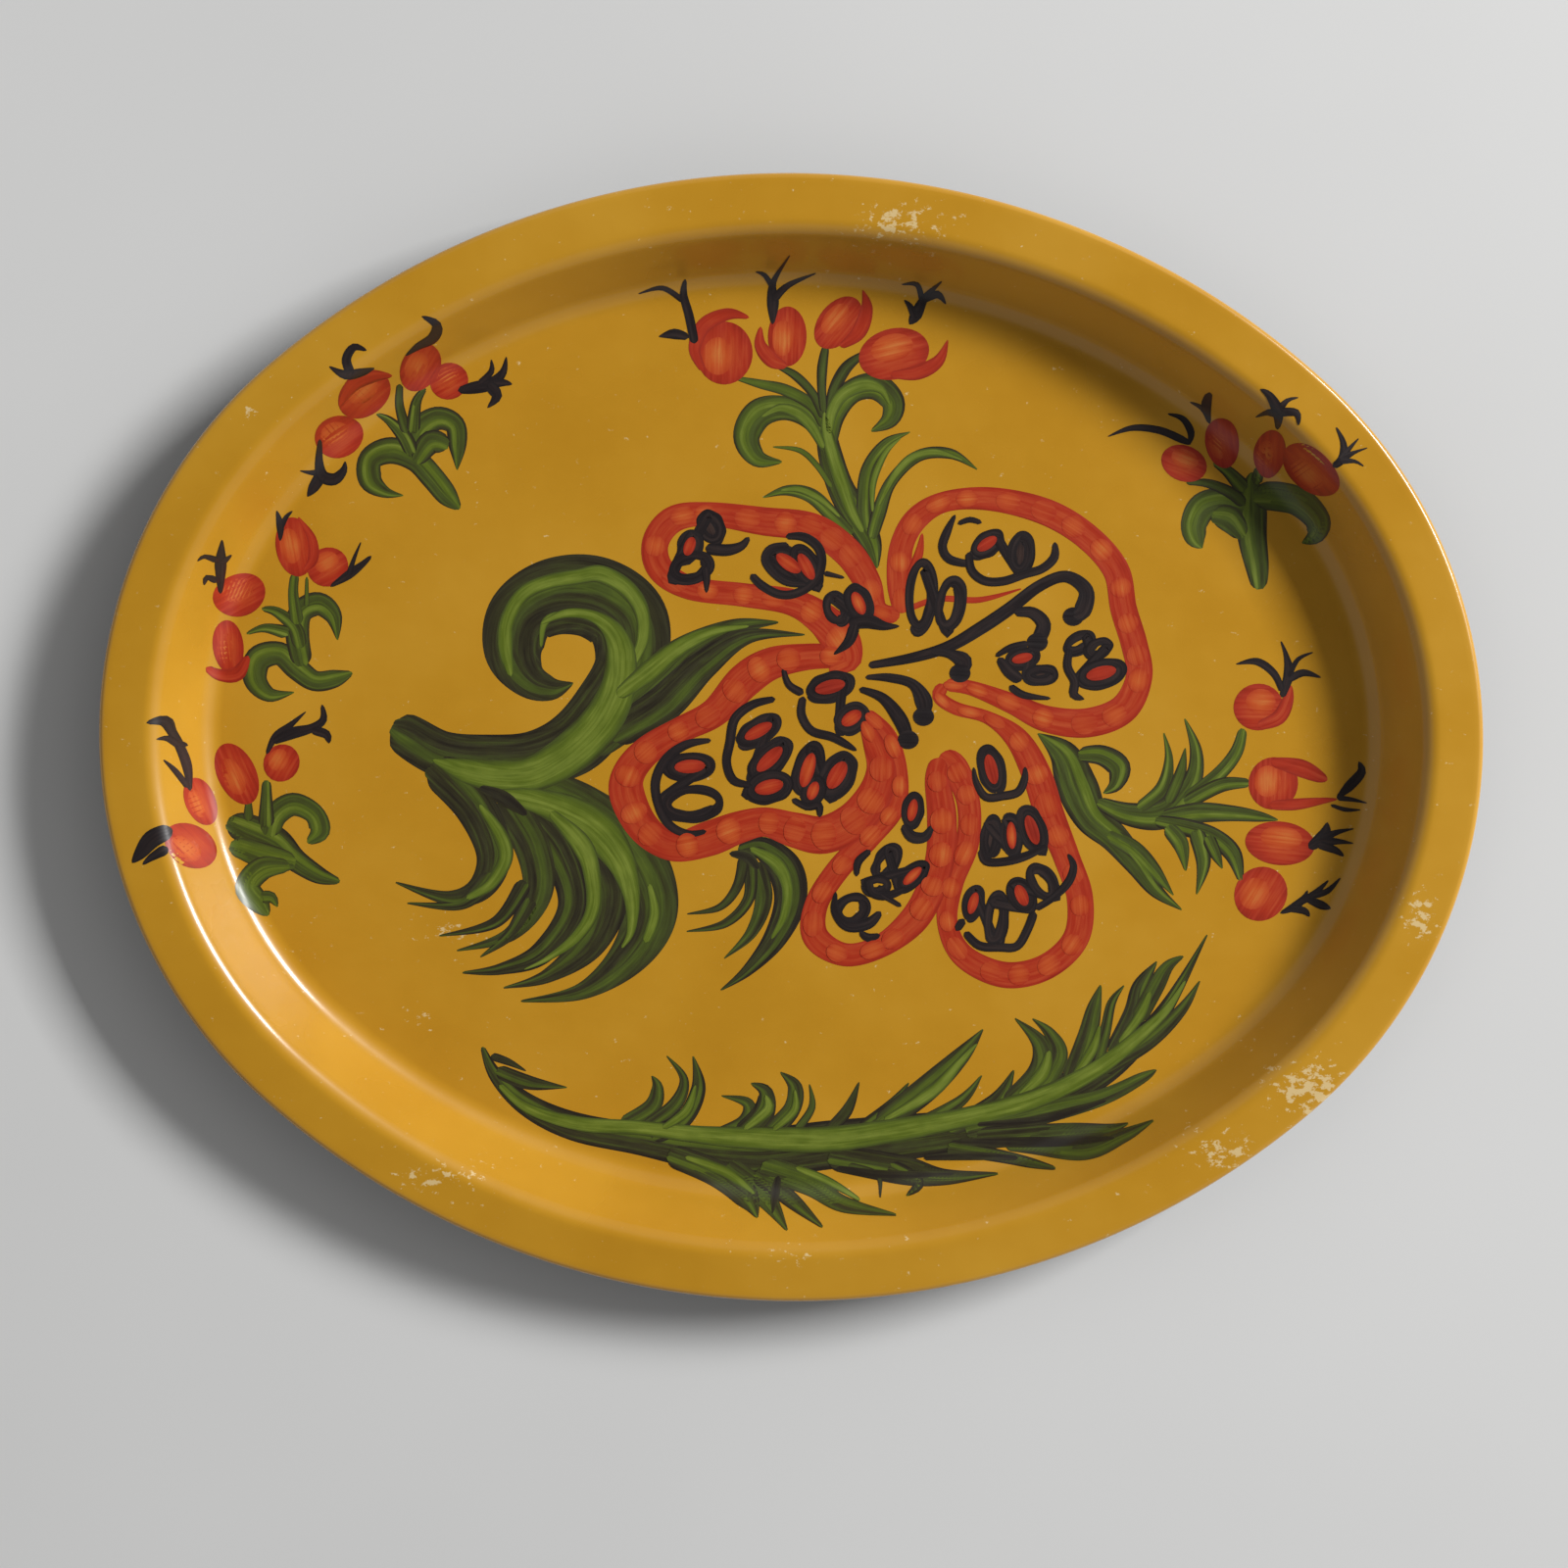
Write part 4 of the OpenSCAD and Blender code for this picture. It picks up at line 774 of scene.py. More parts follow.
RIGHT_SPRIGS = [
    [(166, 18, 2), (168, 26, 3.5), (167, 32, 1.8), (165, 37, 0.5)],
    [(166, 20, 2), (163, 26, 2.5), (157, 30, 2.5), (150, 29, 0.5)],
    [(168, 24, 2.5), (173, 26.5, 2.5), (179, 25, 0.6)],
    [(168, 25, 2), (171, 31, 1.5), (176, 33.5, 0.5)],
    [(186, -16, 1), (190, -12, 3.5), (194, -7, 3), (193, -3.5, 1)],
    [(186, -16, 2), (191, -16.5, 1.5), (196, -17.5, 0.4)],
    [(184, -18.5, 1), (189, -20, 1.5), (194, -20, 0.4)],
    [(177, -33.5, 3), (182, -29, 4.5), (183, -24.5, 0.8)],
    [(180, -31, 4), (186, -28, 2), (192, -26.5, 0.4)],
    [(180, -31, 4), (187, -31, 2), (192, -31.5, 0.4)],
    [(180, -32, 3), (186, -34, 2.5), (189, -36, 0.8)],
    [(168, -56, 1), (173, -53.5, 3), (176, -50.5, 2), (177, -48, 0.5)],
    [(171, -54.5, 2), (176, -55, 2.5), (178, -57, 0.8)],
    [(173, -53, 2), (179, -49.5, 2.5), (184, -44.5, 0.6)],
    [(179, -50, 2), (184, -48, 2), (188, -43.5, 0.5)],
    [(177, -51, 2), (182, -53, 3), (185, -54, 0.8)],
]

POD_RIBBONS = [
    [(35, 43, 6), (28, 45, 6), (24, 54, 9), (17, 64, 10), (5, 72, 10), (-12, 74, 9.5), (-30, 76, 8),
        (-42, 74, 9), (-48, 66, 9), (-46, 57, 9), (-36, 51, 8), (-18, 49, 8), (-2, 47, 9), (8, 42, 11),
        (15, 35, 13), (18, 28, 9), (14, 25, 3.5)],
    [(36, 44, 6), (35, 54, 9), (35, 66, 8), (40, 76, 8), (50, 82, 7), (66, 83, 8), (84, 79, 9), (98, 71, 9),
        (108, 60, 9), (111, 47, 9), (115, 35, 9), (117, 24, 9), (112, 13, 10), (100, 8, 10), (86, 9, 9),
        (74, 14, 7), (60, 19, 5), (51, 20, 4.5)],
    [(51, 20, 4.5), (49, 16, 4.5), (55, 12, 4.5), (66, 9, 4.5), (76, 2, 8), (83, -10, 10), (88, -24, 10),
        (94, -38, 9), (99, -52, 9), (98, -66, 9), (88, -76, 9), (74, -79, 9), (60, -73, 8), (54, -62, 7),
        (55, -48, 8), (60, -34, 8), (60, -20, 8), (55, -8, 9), (50, -4, 6)],
    [(16, 29, 8), (4, 28.5, 9), (-8, 26, 11), (-17, 20, 12), (-27, 9, 10), (-38, 3, 9), (-49, -4, 10),
        (-55.5, -12, 11), (-56, -20, 12), (-50, -31, 11), (-40, -37, 10), (-28, -34, 12), (-18, -30, 11),
        (-9, -28, 10), (1, -30.5, 12), (11, -32, 13), (21, -27, 13), (28, -18, 12), (30, -9, 10),
        (27, 0, 7), (24, 6, 4)],
    [(24, 10, 4.5), (32, 2, 6), (36, -10, 6), (35, -22, 7), (26, -33, 8), (16, -44, 8), (9, -56, 8),
        (9, -67, 9), (19, -73, 8), (31, -70, 8), (42, -61, 10), (48, -50, 10), (51, -38, 10), (51, -24, 10),
        (49, -12, 8), (50, -5, 6)],
]
POD_DABS = [
    [(37, 45, 2), (48, 49, 2), (62, 49, 2), (76, 53, 0.5)],
    [(42, 71, 0.8), (41, 64, 3), (38, 56, 3)],
]
SEEDS = [
    [(-35, -9.5, 9.5, 5.5, 5), (-34, -22, 12, 7, 5)],
    [(-12, 3, 9.5, 5, 30), (-8, -6.5, 10.5, 5.5, 45), (-8, -16, 9, 6, 15)],
    [(5, -10, 11, 5.5, 75), (15, -11.5, 9.5, 6.5, 60), (7, -17, 6, 4.5, 70)],
    [(12, 18.5, 9.5, 5.5, 15), (19.5, 8, 7, 5.5, 35)],
    [(-29.5, 71.5, 6.5, 5, 115), (-36.5, 65, 6, 4.5, 70), (-36, 58, 8.5, 6, 15)],
    [(-3, 60, 9, 5.5, 145), (3, 59, 9, 5, 120)],
    [(13.5, 45, 6.5, 5, 110), (21, 47, 7.5, 5, 115)],
    [(42, 50, 14, 6, 88), (52, 47.5, 10.5, 5.5, 80)],
    [(64, 68, 7, 4.5, 35), (75.5, 65, 8, 5, 85)],
    [(77, 29.5, 6.5, 4, 15), (83.5, 24, 6.5, 3.8, 5)],
    [(96, 35, 6.5, 4, 30), (103, 33.5, 5.5, 3.8, 25), (104, 25, 9.5, 5.5, 15)],
    [(67.5, -8.5, 9.5, 5, 105)],
    [(68, -32, 8.5, 4, 85), (75, -31, 8.5, 4, 95), (82, -29, 9.5, 5, 110)],
    [(41, -23, 7, 4, 80)],
    [(32.5, -41, 8, 4.5, 60), (41.5, -45.5, 7.5, 4, 45), (29.5, -49, 5.5, 4, 10)],
    [(21, -57.5, 7.5, 6, 30)],
    [(62.5, -54.5, 7, 4, 75), (70.5, -59.5, 10.5, 4.5, 85), (79, -51.5, 7, 5, 115), (86, -47, 8, 5, 125)],
]
SEED_TAILS = [
    [(-28, -0.5, 1.5), (-36, -2, 3), (-43, -7, 3.2), (-46.5, -15, 3.2), (-45, -24, 3), (-41, -30, 3),
        (-35, -32.5, 2.5), (-29, -31.5, 1.5)],
    [(-6.5, 14, 2), (-14, 12, 3), (-20, 7, 3.2), (-21.5, -1, 3.2), (-22.5, -8, 3), (-20, -14, 3),
        (-14, -15.5, 2)],
    [(0, -20, 2), (5, -22.5, 2.5), (9, -22, 3), (9.5, -26, 1.5)],
    [(-4, 24.5, 1.5), (-2, 19, 2.5), (3, 16, 3)],
    [(3, 15, 2.5), (2.5, 9, 3), (6, 3.5, 3), (13, 1.5, 3), (18, -1, 2.5), (21.5, -3, 1)],
    [(-31, 64.5, 4), (-24, 64, 4), (-19, 65.5, 3), (-16.5, 68.5, 1.5)],
    [(-31, 58, 3), (-30.5, 54, 2.5), (-30.5, 49.5, 1)],
    [(-4, 69, 2), (2, 69, 3), (7, 65.5, 3.2), (8.3, 60, 3), (6, 54, 3), (0, 50, 3), (-6, 49.5, 3),
        (-12, 52.5, 3), (-15.5, 56, 2.5)],
    [(-3, 66, 2.5), (-9, 65, 2.5), (-11, 61, 2.5), (-8, 56.5, 2.5), (-3, 53.5, 2.5), (3, 53, 2)],
    [(9, 57, 2), (16, 55.5, 1)],
    [(18, 40, 4), (24, 41, 5), (30, 39.5, 3), (35, 39.5, 0.8)],
    [(20, 40, 4), (18, 34, 3.5), (13, 29.5, 0.8)],
    [(53, 77.5, 1), (50.5, 72, 2.8), (49, 66.5, 3), (51.5, 62.5, 3), (58, 61, 2.5)],
    [(54, 74.5, 1.5), (58, 76, 2), (62, 75, 1.5)],
    [(58, 65, 2.5), (59, 59, 3), (63.5, 55.5, 3), (70, 55.5, 3), (77, 58, 3), (83, 60, 3), (87, 64, 3),
        (87, 69, 1.5)],
    [(68, 30, 1.5), (73, 33, 2.5), (79, 34.5, 2.5)],
    [(69, 29.5, 2.5), (72.5, 25, 4), (77, 22, 4)],
    [(73, 20, 2.5), (78, 17, 2.5), (87, 16, 1)],
    [(93, 33, 2.5), (92.5, 27, 3), (95, 22, 3), (95, 17.5, 3), (98.5, 16, 1)],
    [(61.5, -8, 1), (62.5, -13, 2.2), (66, -18, 2.8), (72, -17.5, 3), (77, -16, 3), (79, -11.5, 2.5),
        (79, -7.5, 1)],
    [(64.5, -36, 2), (66.5, -40, 2.8), (73, -40, 3), (80, -38, 3), (87, -34.5, 2)],
    [(38, -28, 3), (41, -32, 4), (45.5, -32, 3.5), (48, -28, 1.5)],
    [(22.5, -46, 1.5), (23, -41, 2.8), (27, -37, 2)],
    [(26.5, -47, 2.5), (28, -51.5, 3), (33, -52.5, 3), (39, -50, 2.5)],
    [(31, -52, 2), (38, -56, 1.5)],
    [(15.5, -51.5, 1), (15.5, -58, 3), (20, -63, 4), (27, -62, 4), (31, -58, 2)],
    [(24, -65, 1.5), (27, -67, 3), (31, -66, 1.5)],
    [(57, -64, 2.5), (59.5, -60, 3)],
    [(60, -64.5, 2.5), (65, -69, 3), (72, -69.5, 3), (78, -69, 3), (81.5, -63, 3), (83.5, -57, 3)],
    [(84, -56, 2.5), (90, -52, 2.5), (95, -46.5, 3), (96.5, -41, 2.5), (94.5, -37, 1)],
]
STAMENS = [
    [(25, 26, 2.5), (40, 29, 3.5), (52, 33, 4), (62, 39, 4.5), (72, 46, 4.5), (82, 54, 4), (91, 57.5, 4),
        (98, 53, 5), (97, 46, 6), (94, 44, 3)],
    [(74, 45, 3), (80, 45, 4), (84, 41, 5), (82, 35, 5)],
    [(46, 31, 2.5), (52, 30.5, 3), (57, 28, 6), (56, 24, 4)],
    [(24, 22, 1.5), (32, 22, 3), (40, 20, 3.5), (44, 14, 6), (44, 9, 3)],
    [(22, 18, 2), (30, 15, 3.5), (36, 8, 5), (39, 1, 4)],
]

SCROLL_LEAF = [
    [(-136, 2, 6), (-132, 0, 14), (-119, -7, 16), (-104, -9, 18), (-88, -8, 19), (-74, -2, 22),
        (-64, 10, 22), (-56, 24, 24), (-57, 39, 28), (-68, 47, 28), (-82, 47, 26), (-93, 40, 23),
        (-95, 28, 20), (-90, 19, 13), (-82, 16, 8), (-75, 18, 0.8)],
    [(-72, -4, 14), (-58, 8, 18), (-45, 20, 18), (-35, 30, 12), (-20, 38, 6), (-6, 40, 0.8)],
    [(-62, 0, 10), (-45, 11, 13), (-31, 25, 10), (-16, 35, 5), (3, 36, 0.6)],
    [(-108, -13, 12), (-90, -18, 16), (-72, -26, 20), (-56, -40, 24), (-48, -58, 20), (-54, -74, 14),
        (-70, -87, 6), (-91, -91, 0.8)],
    [(-92, -24, 12), (-75, -36, 18), (-64, -52, 18), (-68, -70, 12), (-82, -82, 5), (-97, -86.5, 0.6)],
    [(-92, -24, 12), (-79, -40, 12), (-74, -58, 10), (-84, -74, 8), (-98, -80, 4), (-111, -81.5, 0.8)],
    [(-98, -22, 12), (-88, -38, 12), (-86, -54, 10), (-95, -68, 5), (-113, -74, 0.6)],
    [(-88, -56, 7), (-95, -68, 4), (-105, -76, 0.6)],
    [(-90, -50, 6), (-100, -64, 4), (-119, -69, 0.6)],
    [(-122, -10, 14), (-108, -24, 14), (-101, -40, 12), (-105, -52, 9), (-116, -56, 5), (-134, -51, 0.6)],
    [(-101, -48, 8), (-112, -58, 4), (-130, -58, 0.6)],
]
SCROLL_LIGHTS = [
    [(-122, -9, 1), (-112, -12, 8), (-100, -14, 11), (-88, -13, 12), (-76, -6, 14), (-66, 4, 14),
        (-60, 16, 12), (-59, 28, 10), (-62, 36, 7), (-69, 41, 4), (-78, 41.5, 3), (-86, 38, 1)],
    [(-57, 22, 3), (-52, 32, 4), (-52, 42, 5), (-57, 50, 6), (-66, 55, 6), (-74, 54, 5), (-84, 52, 5),
        (-92, 48, 5), (-97, 40, 5), (-98, 30, 5), (-96, 20, 2)],
    [(-86, 30, 1), (-85, 38, 2.5), (-80, 41, 2.5), (-70, 41, 1)],
    [(-60, 14, 4), (-50, 22, 7), (-42, 29, 6), (-34, 34, 5), (-26, 37, 3), (-16, 38.5, 1)],
    [(-100, -20, 3), (-88, -22, 8), (-76, -26, 12), (-66, -32, 14), (-58, -42, 10), (-54, -54, 6),
        (-54, -66, 3), (-57, -72, 1)],
    [(-82, -26, 3), (-72, -36, 7), (-68, -45, 6), (-67, -58, 5), (-72, -68, 4), (-82, -76, 2),
        (-90, -80, 0.5)],
    [(-106, -24, 2), (-99, -34, 5), (-97, -42, 5), (-102, -51, 4), (-110, -56, 2)],
    [(-48, -50, 2), (-46, -60, 4), (-49, -70, 3)],
]

SCROLL_BROWNS = [
    [(-106, -18, 2), (-98, -21.5, 5), (-90, -27, 2)],
]

SMALL_LEAF = [
    [(-18, -38, 5), (-10, -37, 8), (-2, -44, 12), (0, -55, 11), (-5, -68, 8), (-14, -79, 4),
        (-23, -86, 0.6)],
    [(-12, -42, 6), (-9, -54, 6), (-13, -66, 4), (-22, -75, 0.5)],
    [(-14, -41, 5), (-14, -54, 4), (-22, -63, 3), (-35, -66, 0.5)],
    [(-16, -40, 4), (-18, -50, 3.5), (-24, -57.5, 2.5), (-35, -60, 0.5)],
]
SMALL_LEAF_LIGHTS = [
    [(-14, -37, 2), (-5, -42, 5), (-1, -50, 4), (-2, -60, 3), (-6, -68, 1)],
]
SMALL_LEAF_BROWNS = [
    [(-21, -39, 1.5), (-15, -40, 4), (-11, -44, 2)],
]

FROND = [
    [(-104, -107, 1.5), (-99, -117, 5), (-88, -127, 8), (-72, -134, 10), (-50, -138, 11), (-30, -141, 14),
        (-8, -142, 17), (15, -139, 17), (40, -136, 16), (65, -132, 14), (85, -124, 14), (105, -114, 11),
        (118, -104, 8), (130, -89, 5), (143, -64, 0.6)],
    [(-101, -110, 3), (-95, -112, 2.5), (-89, -115, 0.5)],
    [(-99, -115, 5), (-88, -119, 5), (-75, -120.5, 0.5)],
    [(-56, -133, 5), (-46, -127, 6), (-44, -120, 4), (-46, -116, 0.6)],
    [(-48, -134, 5), (-38, -126, 5), (-35, -117, 3), (-41, -109, 0.5)],
    [(-46, -137, 7), (-35, -131, 6), (-30, -120, 5), (-32, -109, 0.6)],
    [(-26, -137, 4), (-14, -132, 6), (-13, -125, 4), (-22, -122.5, 0.5)],
    [(-16, -137, 8), (-8, -129, 8), (-7, -121, 5), (-12, -118, 0.8)],
    [(-6, -136, 7), (2, -127, 6), (3, -119, 5), (-2, -114, 0.6)],
    [(4, -134, 3), (9, -126, 2.5), (8, -118, 0.5)],
    [(14, -135, 4), (21, -127, 4), (25, -117, 0.6)],
    [(26, -134, 6), (36, -125, 4), (42, -117, 0.6)],
    [(32, -132, 8), (48, -119, 9), (60, -107, 6), (67, -98, 0.6)],
    [(44, -133, 6), (60, -123, 4), (67, -114, 0.6)],
    [(56, -133, 6), (72, -123, 6), (78, -112, 0.8)],
    [(76, -126, 10), (87, -114, 10), (87, -103, 6), (78, -94, 0.5)],
    [(86, -119, 9), (93, -107, 7), (90, -99, 4), (84, -94, 0.5)],
    [(98, -117, 9), (103, -100, 7), (105, -90, 5), (107, -82, 0.8)],
    [(105, -113, 7), (109, -98, 4), (111, -88, 3), (115, -82, 0.5)],
    [(112, -106, 7), (119, -92, 8), (121, -82, 6), (126, -73.5, 0.6)],
    [(120, -94, 6), (126, -82, 6), (130, -75, 4), (135, -71.5, 1)],
    [(108, -111, 7), (124, -101, 6), (135, -90, 4), (141, -80, 0.5)],
    [(62, -133, 8), (85, -127, 9), (108, -121, 6), (122, -114, 4), (127, -111, 0.8)],
    [(66, -136, 8), (95, -133, 6), (110, -131, 3), (117, -128.5, 0.5)],
    [(76, -138, 4), (100, -138, 5), (115, -132, 3.5), (125, -126.5, 0.5)],
    [(56, -139, 6), (80, -142.5, 3.5), (92, -143.5, 1)],
    [(15, -143, 9), (40, -147, 10), (55, -149, 5), (73, -147, 0.6)],
    [(36, -146, 6), (46, -151, 4), (42, -155, 0.6)],
    [(-40, -143, 8), (-24, -149, 9), (-13, -156, 8), (-9, -162, 1)],
    [(-20, -147, 9), (-7, -156, 7), (1, -165, 0.8)],
    [(-10, -149, 7), (2, -157, 5), (13, -164, 0.8)],
    [(-8, -147, 9), (8, -152, 8), (20, -158, 4.5), (38, -160, 0.6)],
    [(22, -146, 2.5), (32, -149, 2), (33, -156, 0.5)],
]
FROND_LIGHTS = [
    [(-98, -120, 2), (-88, -128, 3.5), (-70, -133, 5), (-50, -134, 5), (-30, -136, 6), (-10, -137, 8),
        (15, -137, 9), (40, -133, 8), (60, -129, 7), (85, -122, 7), (105, -112, 6), (120, -100, 5),
        (130, -90, 3), (136, -80, 1)],
    [(34, -130, 2), (50, -120, 4.5), (59, -110, 3), (65, -103, 1)],
    [(80, -121, 2), (88, -113, 5), (90, -105, 2)],
    [(99, -114, 3), (105, -104, 3.5), (107, -96, 1)],
    [(114, -102, 2), (121, -92, 3.5), (124, -84, 2)],
    [(-14, -134, 2), (-6, -127, 4), (-7, -122, 1)],
    [(-4, -134, 2), (3, -127, 3), (3, -120, 1)],
    [(-42, -134, 2), (-34, -128, 3.5), (-31, -119, 1)],
    [(-34, -144, 2), (-20, -149, 4), (-10, -156, 1)],
    [(4, -147, 2), (14, -151, 3), (26, -157, 1)],
]
FROND_BROWNS = [
    [(60, -137, 2), (75, -137, 3.5), (95, -136, 3), (112, -133, 0.8)],
    [(48, -143, 1.5), (62, -142, 3), (80, -142, 1.5)],
    [(66, -131, 1.5), (90, -128.5, 3), (110, -122, 1)],
    [(-2, -150, 2), (-3, -156, 3), (-4, -161, 0.5)],
    [(18, -147, 2), (36, -149, 3), (58, -148, 1)],
]


# ---------------------------------------------------------------- laying the paint
# Each coat's height over the enamel, in millimetres. A tone runs from 0, the darkest, to 1, the lightest.
GREEN_COAT = 0.02
RED_COAT = 0.05
BLACK_COAT = 0.10

# Strokes at least this wide get streaks
STREAKED_WIDTH = 5
# Where the dark and the light streak run, how wide they are, and how far their tones stand off
DARK_STREAK = (0.42, 0.3)
LIGHT_STREAK = (0.3, 0.26)
STREAK_CONTRAST = 0.2
DARKEST_STREAK = 0.16
# How far one leaf's tones may stand off from the tones of its group
LEAF_SHADES = (-0.2, 0.12)
LEAF_TONES = (0.12, 0.6, 0.12)
LIGHT_TONES = (0.36, 0.85, 0.36)
DARK_LEAF_TONES = (0.08, 0.32, 0.08)
FROND_TONES = (0.12, 0.42, 0.12)
BROWN_TONES = (0.2, 0.02, 0.2)
BUD_TONES = (0.52, 0.22)
# The light patch on a bud: its shift and size as shares of the bud's own, and its tones
PATCH_REACH = 0.25
PATCH_LONG = 0.6
PATCH_WIDE = 0.55
PATCH_TONES = (0.82, 0.5)
PETAL_TONES = (0.1, 0.35, 0.15)
SPRIG_TONES = (0.2, 0.55, 0.2)


def beside(points, side, share):
    """A thinner stroke inside another one. side is where it runs, from -1 on the right to 1 on the left."""
    made = []
    for i, (x, y, width) in enumerate(points):
        before, after = points[max(i - 1, 0)], points[min(i + 1, len(points) - 1)]
        dx, dy = after[0] - before[0], after[1] - before[1]
        shift = side * width / 2 / math.hypot(dx, dy)
        made.append((x - dy * shift, y + dx * shift, width * share))
    return made


def paint_leaves(name, seed, strokes, lights=(), tones=LEAF_TONES, browns=()):
    """Leaves in uneven greens, each with a light and a dark streak of the brush in it."""
    paint = Paint(name + "_paint", GREEN_COAT, seed)
    for stroke in strokes:
        shade = paint.random.uniform(*LEAF_SHADES)
        paint.stroke(stroke, [tone + shade for tone in tones])
        if max(width for x, y, width in stroke) < STREAKED_WIDTH:
            continue
        side = paint.random.choice((-1, 1))
        middle = tones[1]
        light, dark = middle + STREAK_CONTRAST, max(DARKEST_STREAK, middle - STREAK_CONTRAST)
        paint.stroke(beside(stroke, -side * DARK_STREAK[0], DARK_STREAK[1]), (middle, dark, middle))
        paint.stroke(beside(stroke, side * LIGHT_STREAK[0], LIGHT_STREAK[1]), (middle, light, middle))
    for stroke in lights:
        paint.stroke(stroke, LIGHT_TONES)
    for stroke in browns:
        paint.stroke(stroke, BROWN_TONES)
    paint.finish(GREEN_PAINT, "green_paint", name)


def paint_buds(name, seed, ovals, petals=()):
    """Buds with a lighter patch on one side, under the darker crescents of their petals."""
    paint = Paint(name + "_paint", RED_COAT, seed)
    for x, y, long, wide, turn in ovals:
        paint.oval(x, y, long, wide, turn, BUD_TONES)
        aside = math.radians(turn + paint.random.uniform(60, 120))
        reach = wide * PATCH_REACH
        px, py = x + reach * math.cos(aside), y + reach * math.sin(aside)
        paint.oval(px, py, long * PATCH_LONG, wide * PATCH_WIDE, turn, PATCH_TONES)
    for stroke in petals:
        paint.stroke(stroke, PETAL_TONES)
    paint.finish(RED_PAINT, "red_paint", name)


def paint_sprigs(name, seed, strokes):
    paint = Paint(name + "_paint", BLACK_COAT, seed)
    for stroke in strokes:
        paint.stroke(stroke, SPRIG_TONES)
    paint.finish(BLACK_PAINT, "black_paint", name)


def paint_bouquet(name, seed, buds, petals, leaves, sprigs, lights=()):
    paint_leaves(name + "_leaves", seed, leaves, lights)
    paint_buds(name + "_buds", seed + 1, buds, petals)
    paint_sprigs(name + "_sprigs", seed + 2, sprigs)


# The dabs on a ribbon: their mean spacing, its scatter, their half lengths, and their width as a share of
# the ribbon's
DAB_SPACING = 9
DAB_SCATTER = (-5, 1.5)
DAB_REACH = (3.4, 4.6)
DAB_SHARE = 0.4
RIBBON_TONES = (0.25, 0.42, 0.25)
SEED_BRUSH = 2.8
# The shares of the seeds that are washed with red and filled with black, and the tones of the filling
WASHED_SHARE = 0.6
FILLED_SHARE = 0.15
FILLED_TONES = (0.9, 0.5)
# Sizes of the wash and of the filling, as shares of the seed's half length and half width
WASH_SIZE = (0.55, 0.42)
FILLING_SIZE = (0.6, 0.5)


def dab_along(paint, ribbon):
    """Soft light dabs at uneven steps along a ribbon."""
    travelled = DAB_SPACING * paint.random.uniform(0.3, 0.7)
    path = smooth_path(ribbon)
    for before, after in zip(path, path[1:]):
        travelled += math.dist(before[:2], after[:2])
        if travelled < DAB_SPACING:
            continue
        travelled = paint.random.uniform(*DAB_SCATTER)
        x, y, width = after
        turn = math.degrees(math.atan2(y - before[1], x - before[0]))
        tones = (paint.random.uniform(0.5, 0.85), RIBBON_TONES[1])
        paint.oval(x, y, paint.random.uniform(*DAB_REACH), width * DAB_SHARE, turn, tones)


def paint_pods():
    paint = Paint("flower_pods_paint", RED_COAT, 40)
    for stroke in POD_RIBBONS + POD_DABS:
        paint.stroke(stroke, RIBBON_TONES)
    for stroke in POD_RIBBONS:
        dab_along(paint, stroke)
    # Thin washes of red inside some of the seeds
    for cluster in SEEDS:
        for x, y, long, wide, turn in cluster:
            if paint.random.random() < WASHED_SHARE:
                tones = (paint.random.uniform(0, 0.9), 0.2)
                paint.oval(x, y, long * WASH_SIZE[0], wide * WASH_SIZE[1], turn, tones)
    paint.finish(RED_PAINT, "red_paint", "flower_pods")


def paint_seeds():
    """Seeds scribbled one after another, a few of them filled in."""
    paint = Paint("flower_seeds_paint", BLACK_COAT, 41)
    for cluster in SEEDS:
        for x, y, long, wide, turn in cluster:
            if paint.random.random() < FILLED_SHARE:
                paint.oval(x, y, long * FILLING_SIZE[0], wide * FILLING_SIZE[1], turn, FILLED_TONES)
        paint.scribble(cluster, SEED_BRUSH, SPRIG_TONES)
    for stroke in SEED_TAILS:
        paint.stroke(stroke, SPRIG_TONES)
    paint.finish(BLACK_PAINT, "black_paint", "flower_seeds")


# Half length and half width of the blob that ends a stamen, and the stamens' rise over the seeds
STAMEN_TIP = (3.6, 3.2)
STAMEN_RISE = 0.03


def paint_stamens():
    paint = Paint("flower_stamens_paint", BLACK_COAT + STAMEN_RISE, 42)
    for stroke in STAMENS:
        paint.stroke(stroke, SPRIG_TONES)
        x, y = stroke[-1][:2]
        paint.oval(x, y, *STAMEN_TIP, 0, SPRIG_TONES[:2])
    paint.finish(BLACK_PAINT, "black_paint", "flower_stamens")


# ---------------------------------------------------------------- studio

def aim(thing, place, target):
    thing.location = place
    thing.rotation_mode = "QUATERNION"
    thing.rotation_quaternion = (target - place).to_track_quat("-Z", "Y")


def add_softbox(name, azimuth, elevation, distance, length, width, watts):
    """A rectangular light that faces the tray. Azimuth is from +X towards +Y."""
    light = bpy.data.lights.new(name, "AREA")
    light.shape = "RECTANGLE"
    light.size = length
    light.size_y = width
    light.energy = watts
    lamp = bpy.data.objects.new(name, light)
    bpy.context.scene.collection.objects.link(lamp)
    a, e = math.radians(azimuth), math.radians(elevation)
    way = Vector((math.cos(e) * math.cos(a), math.cos(e) * math.sin(a), math.sin(e)))
    aim(lamp, way * distance, Vector((0, 0, 0)))


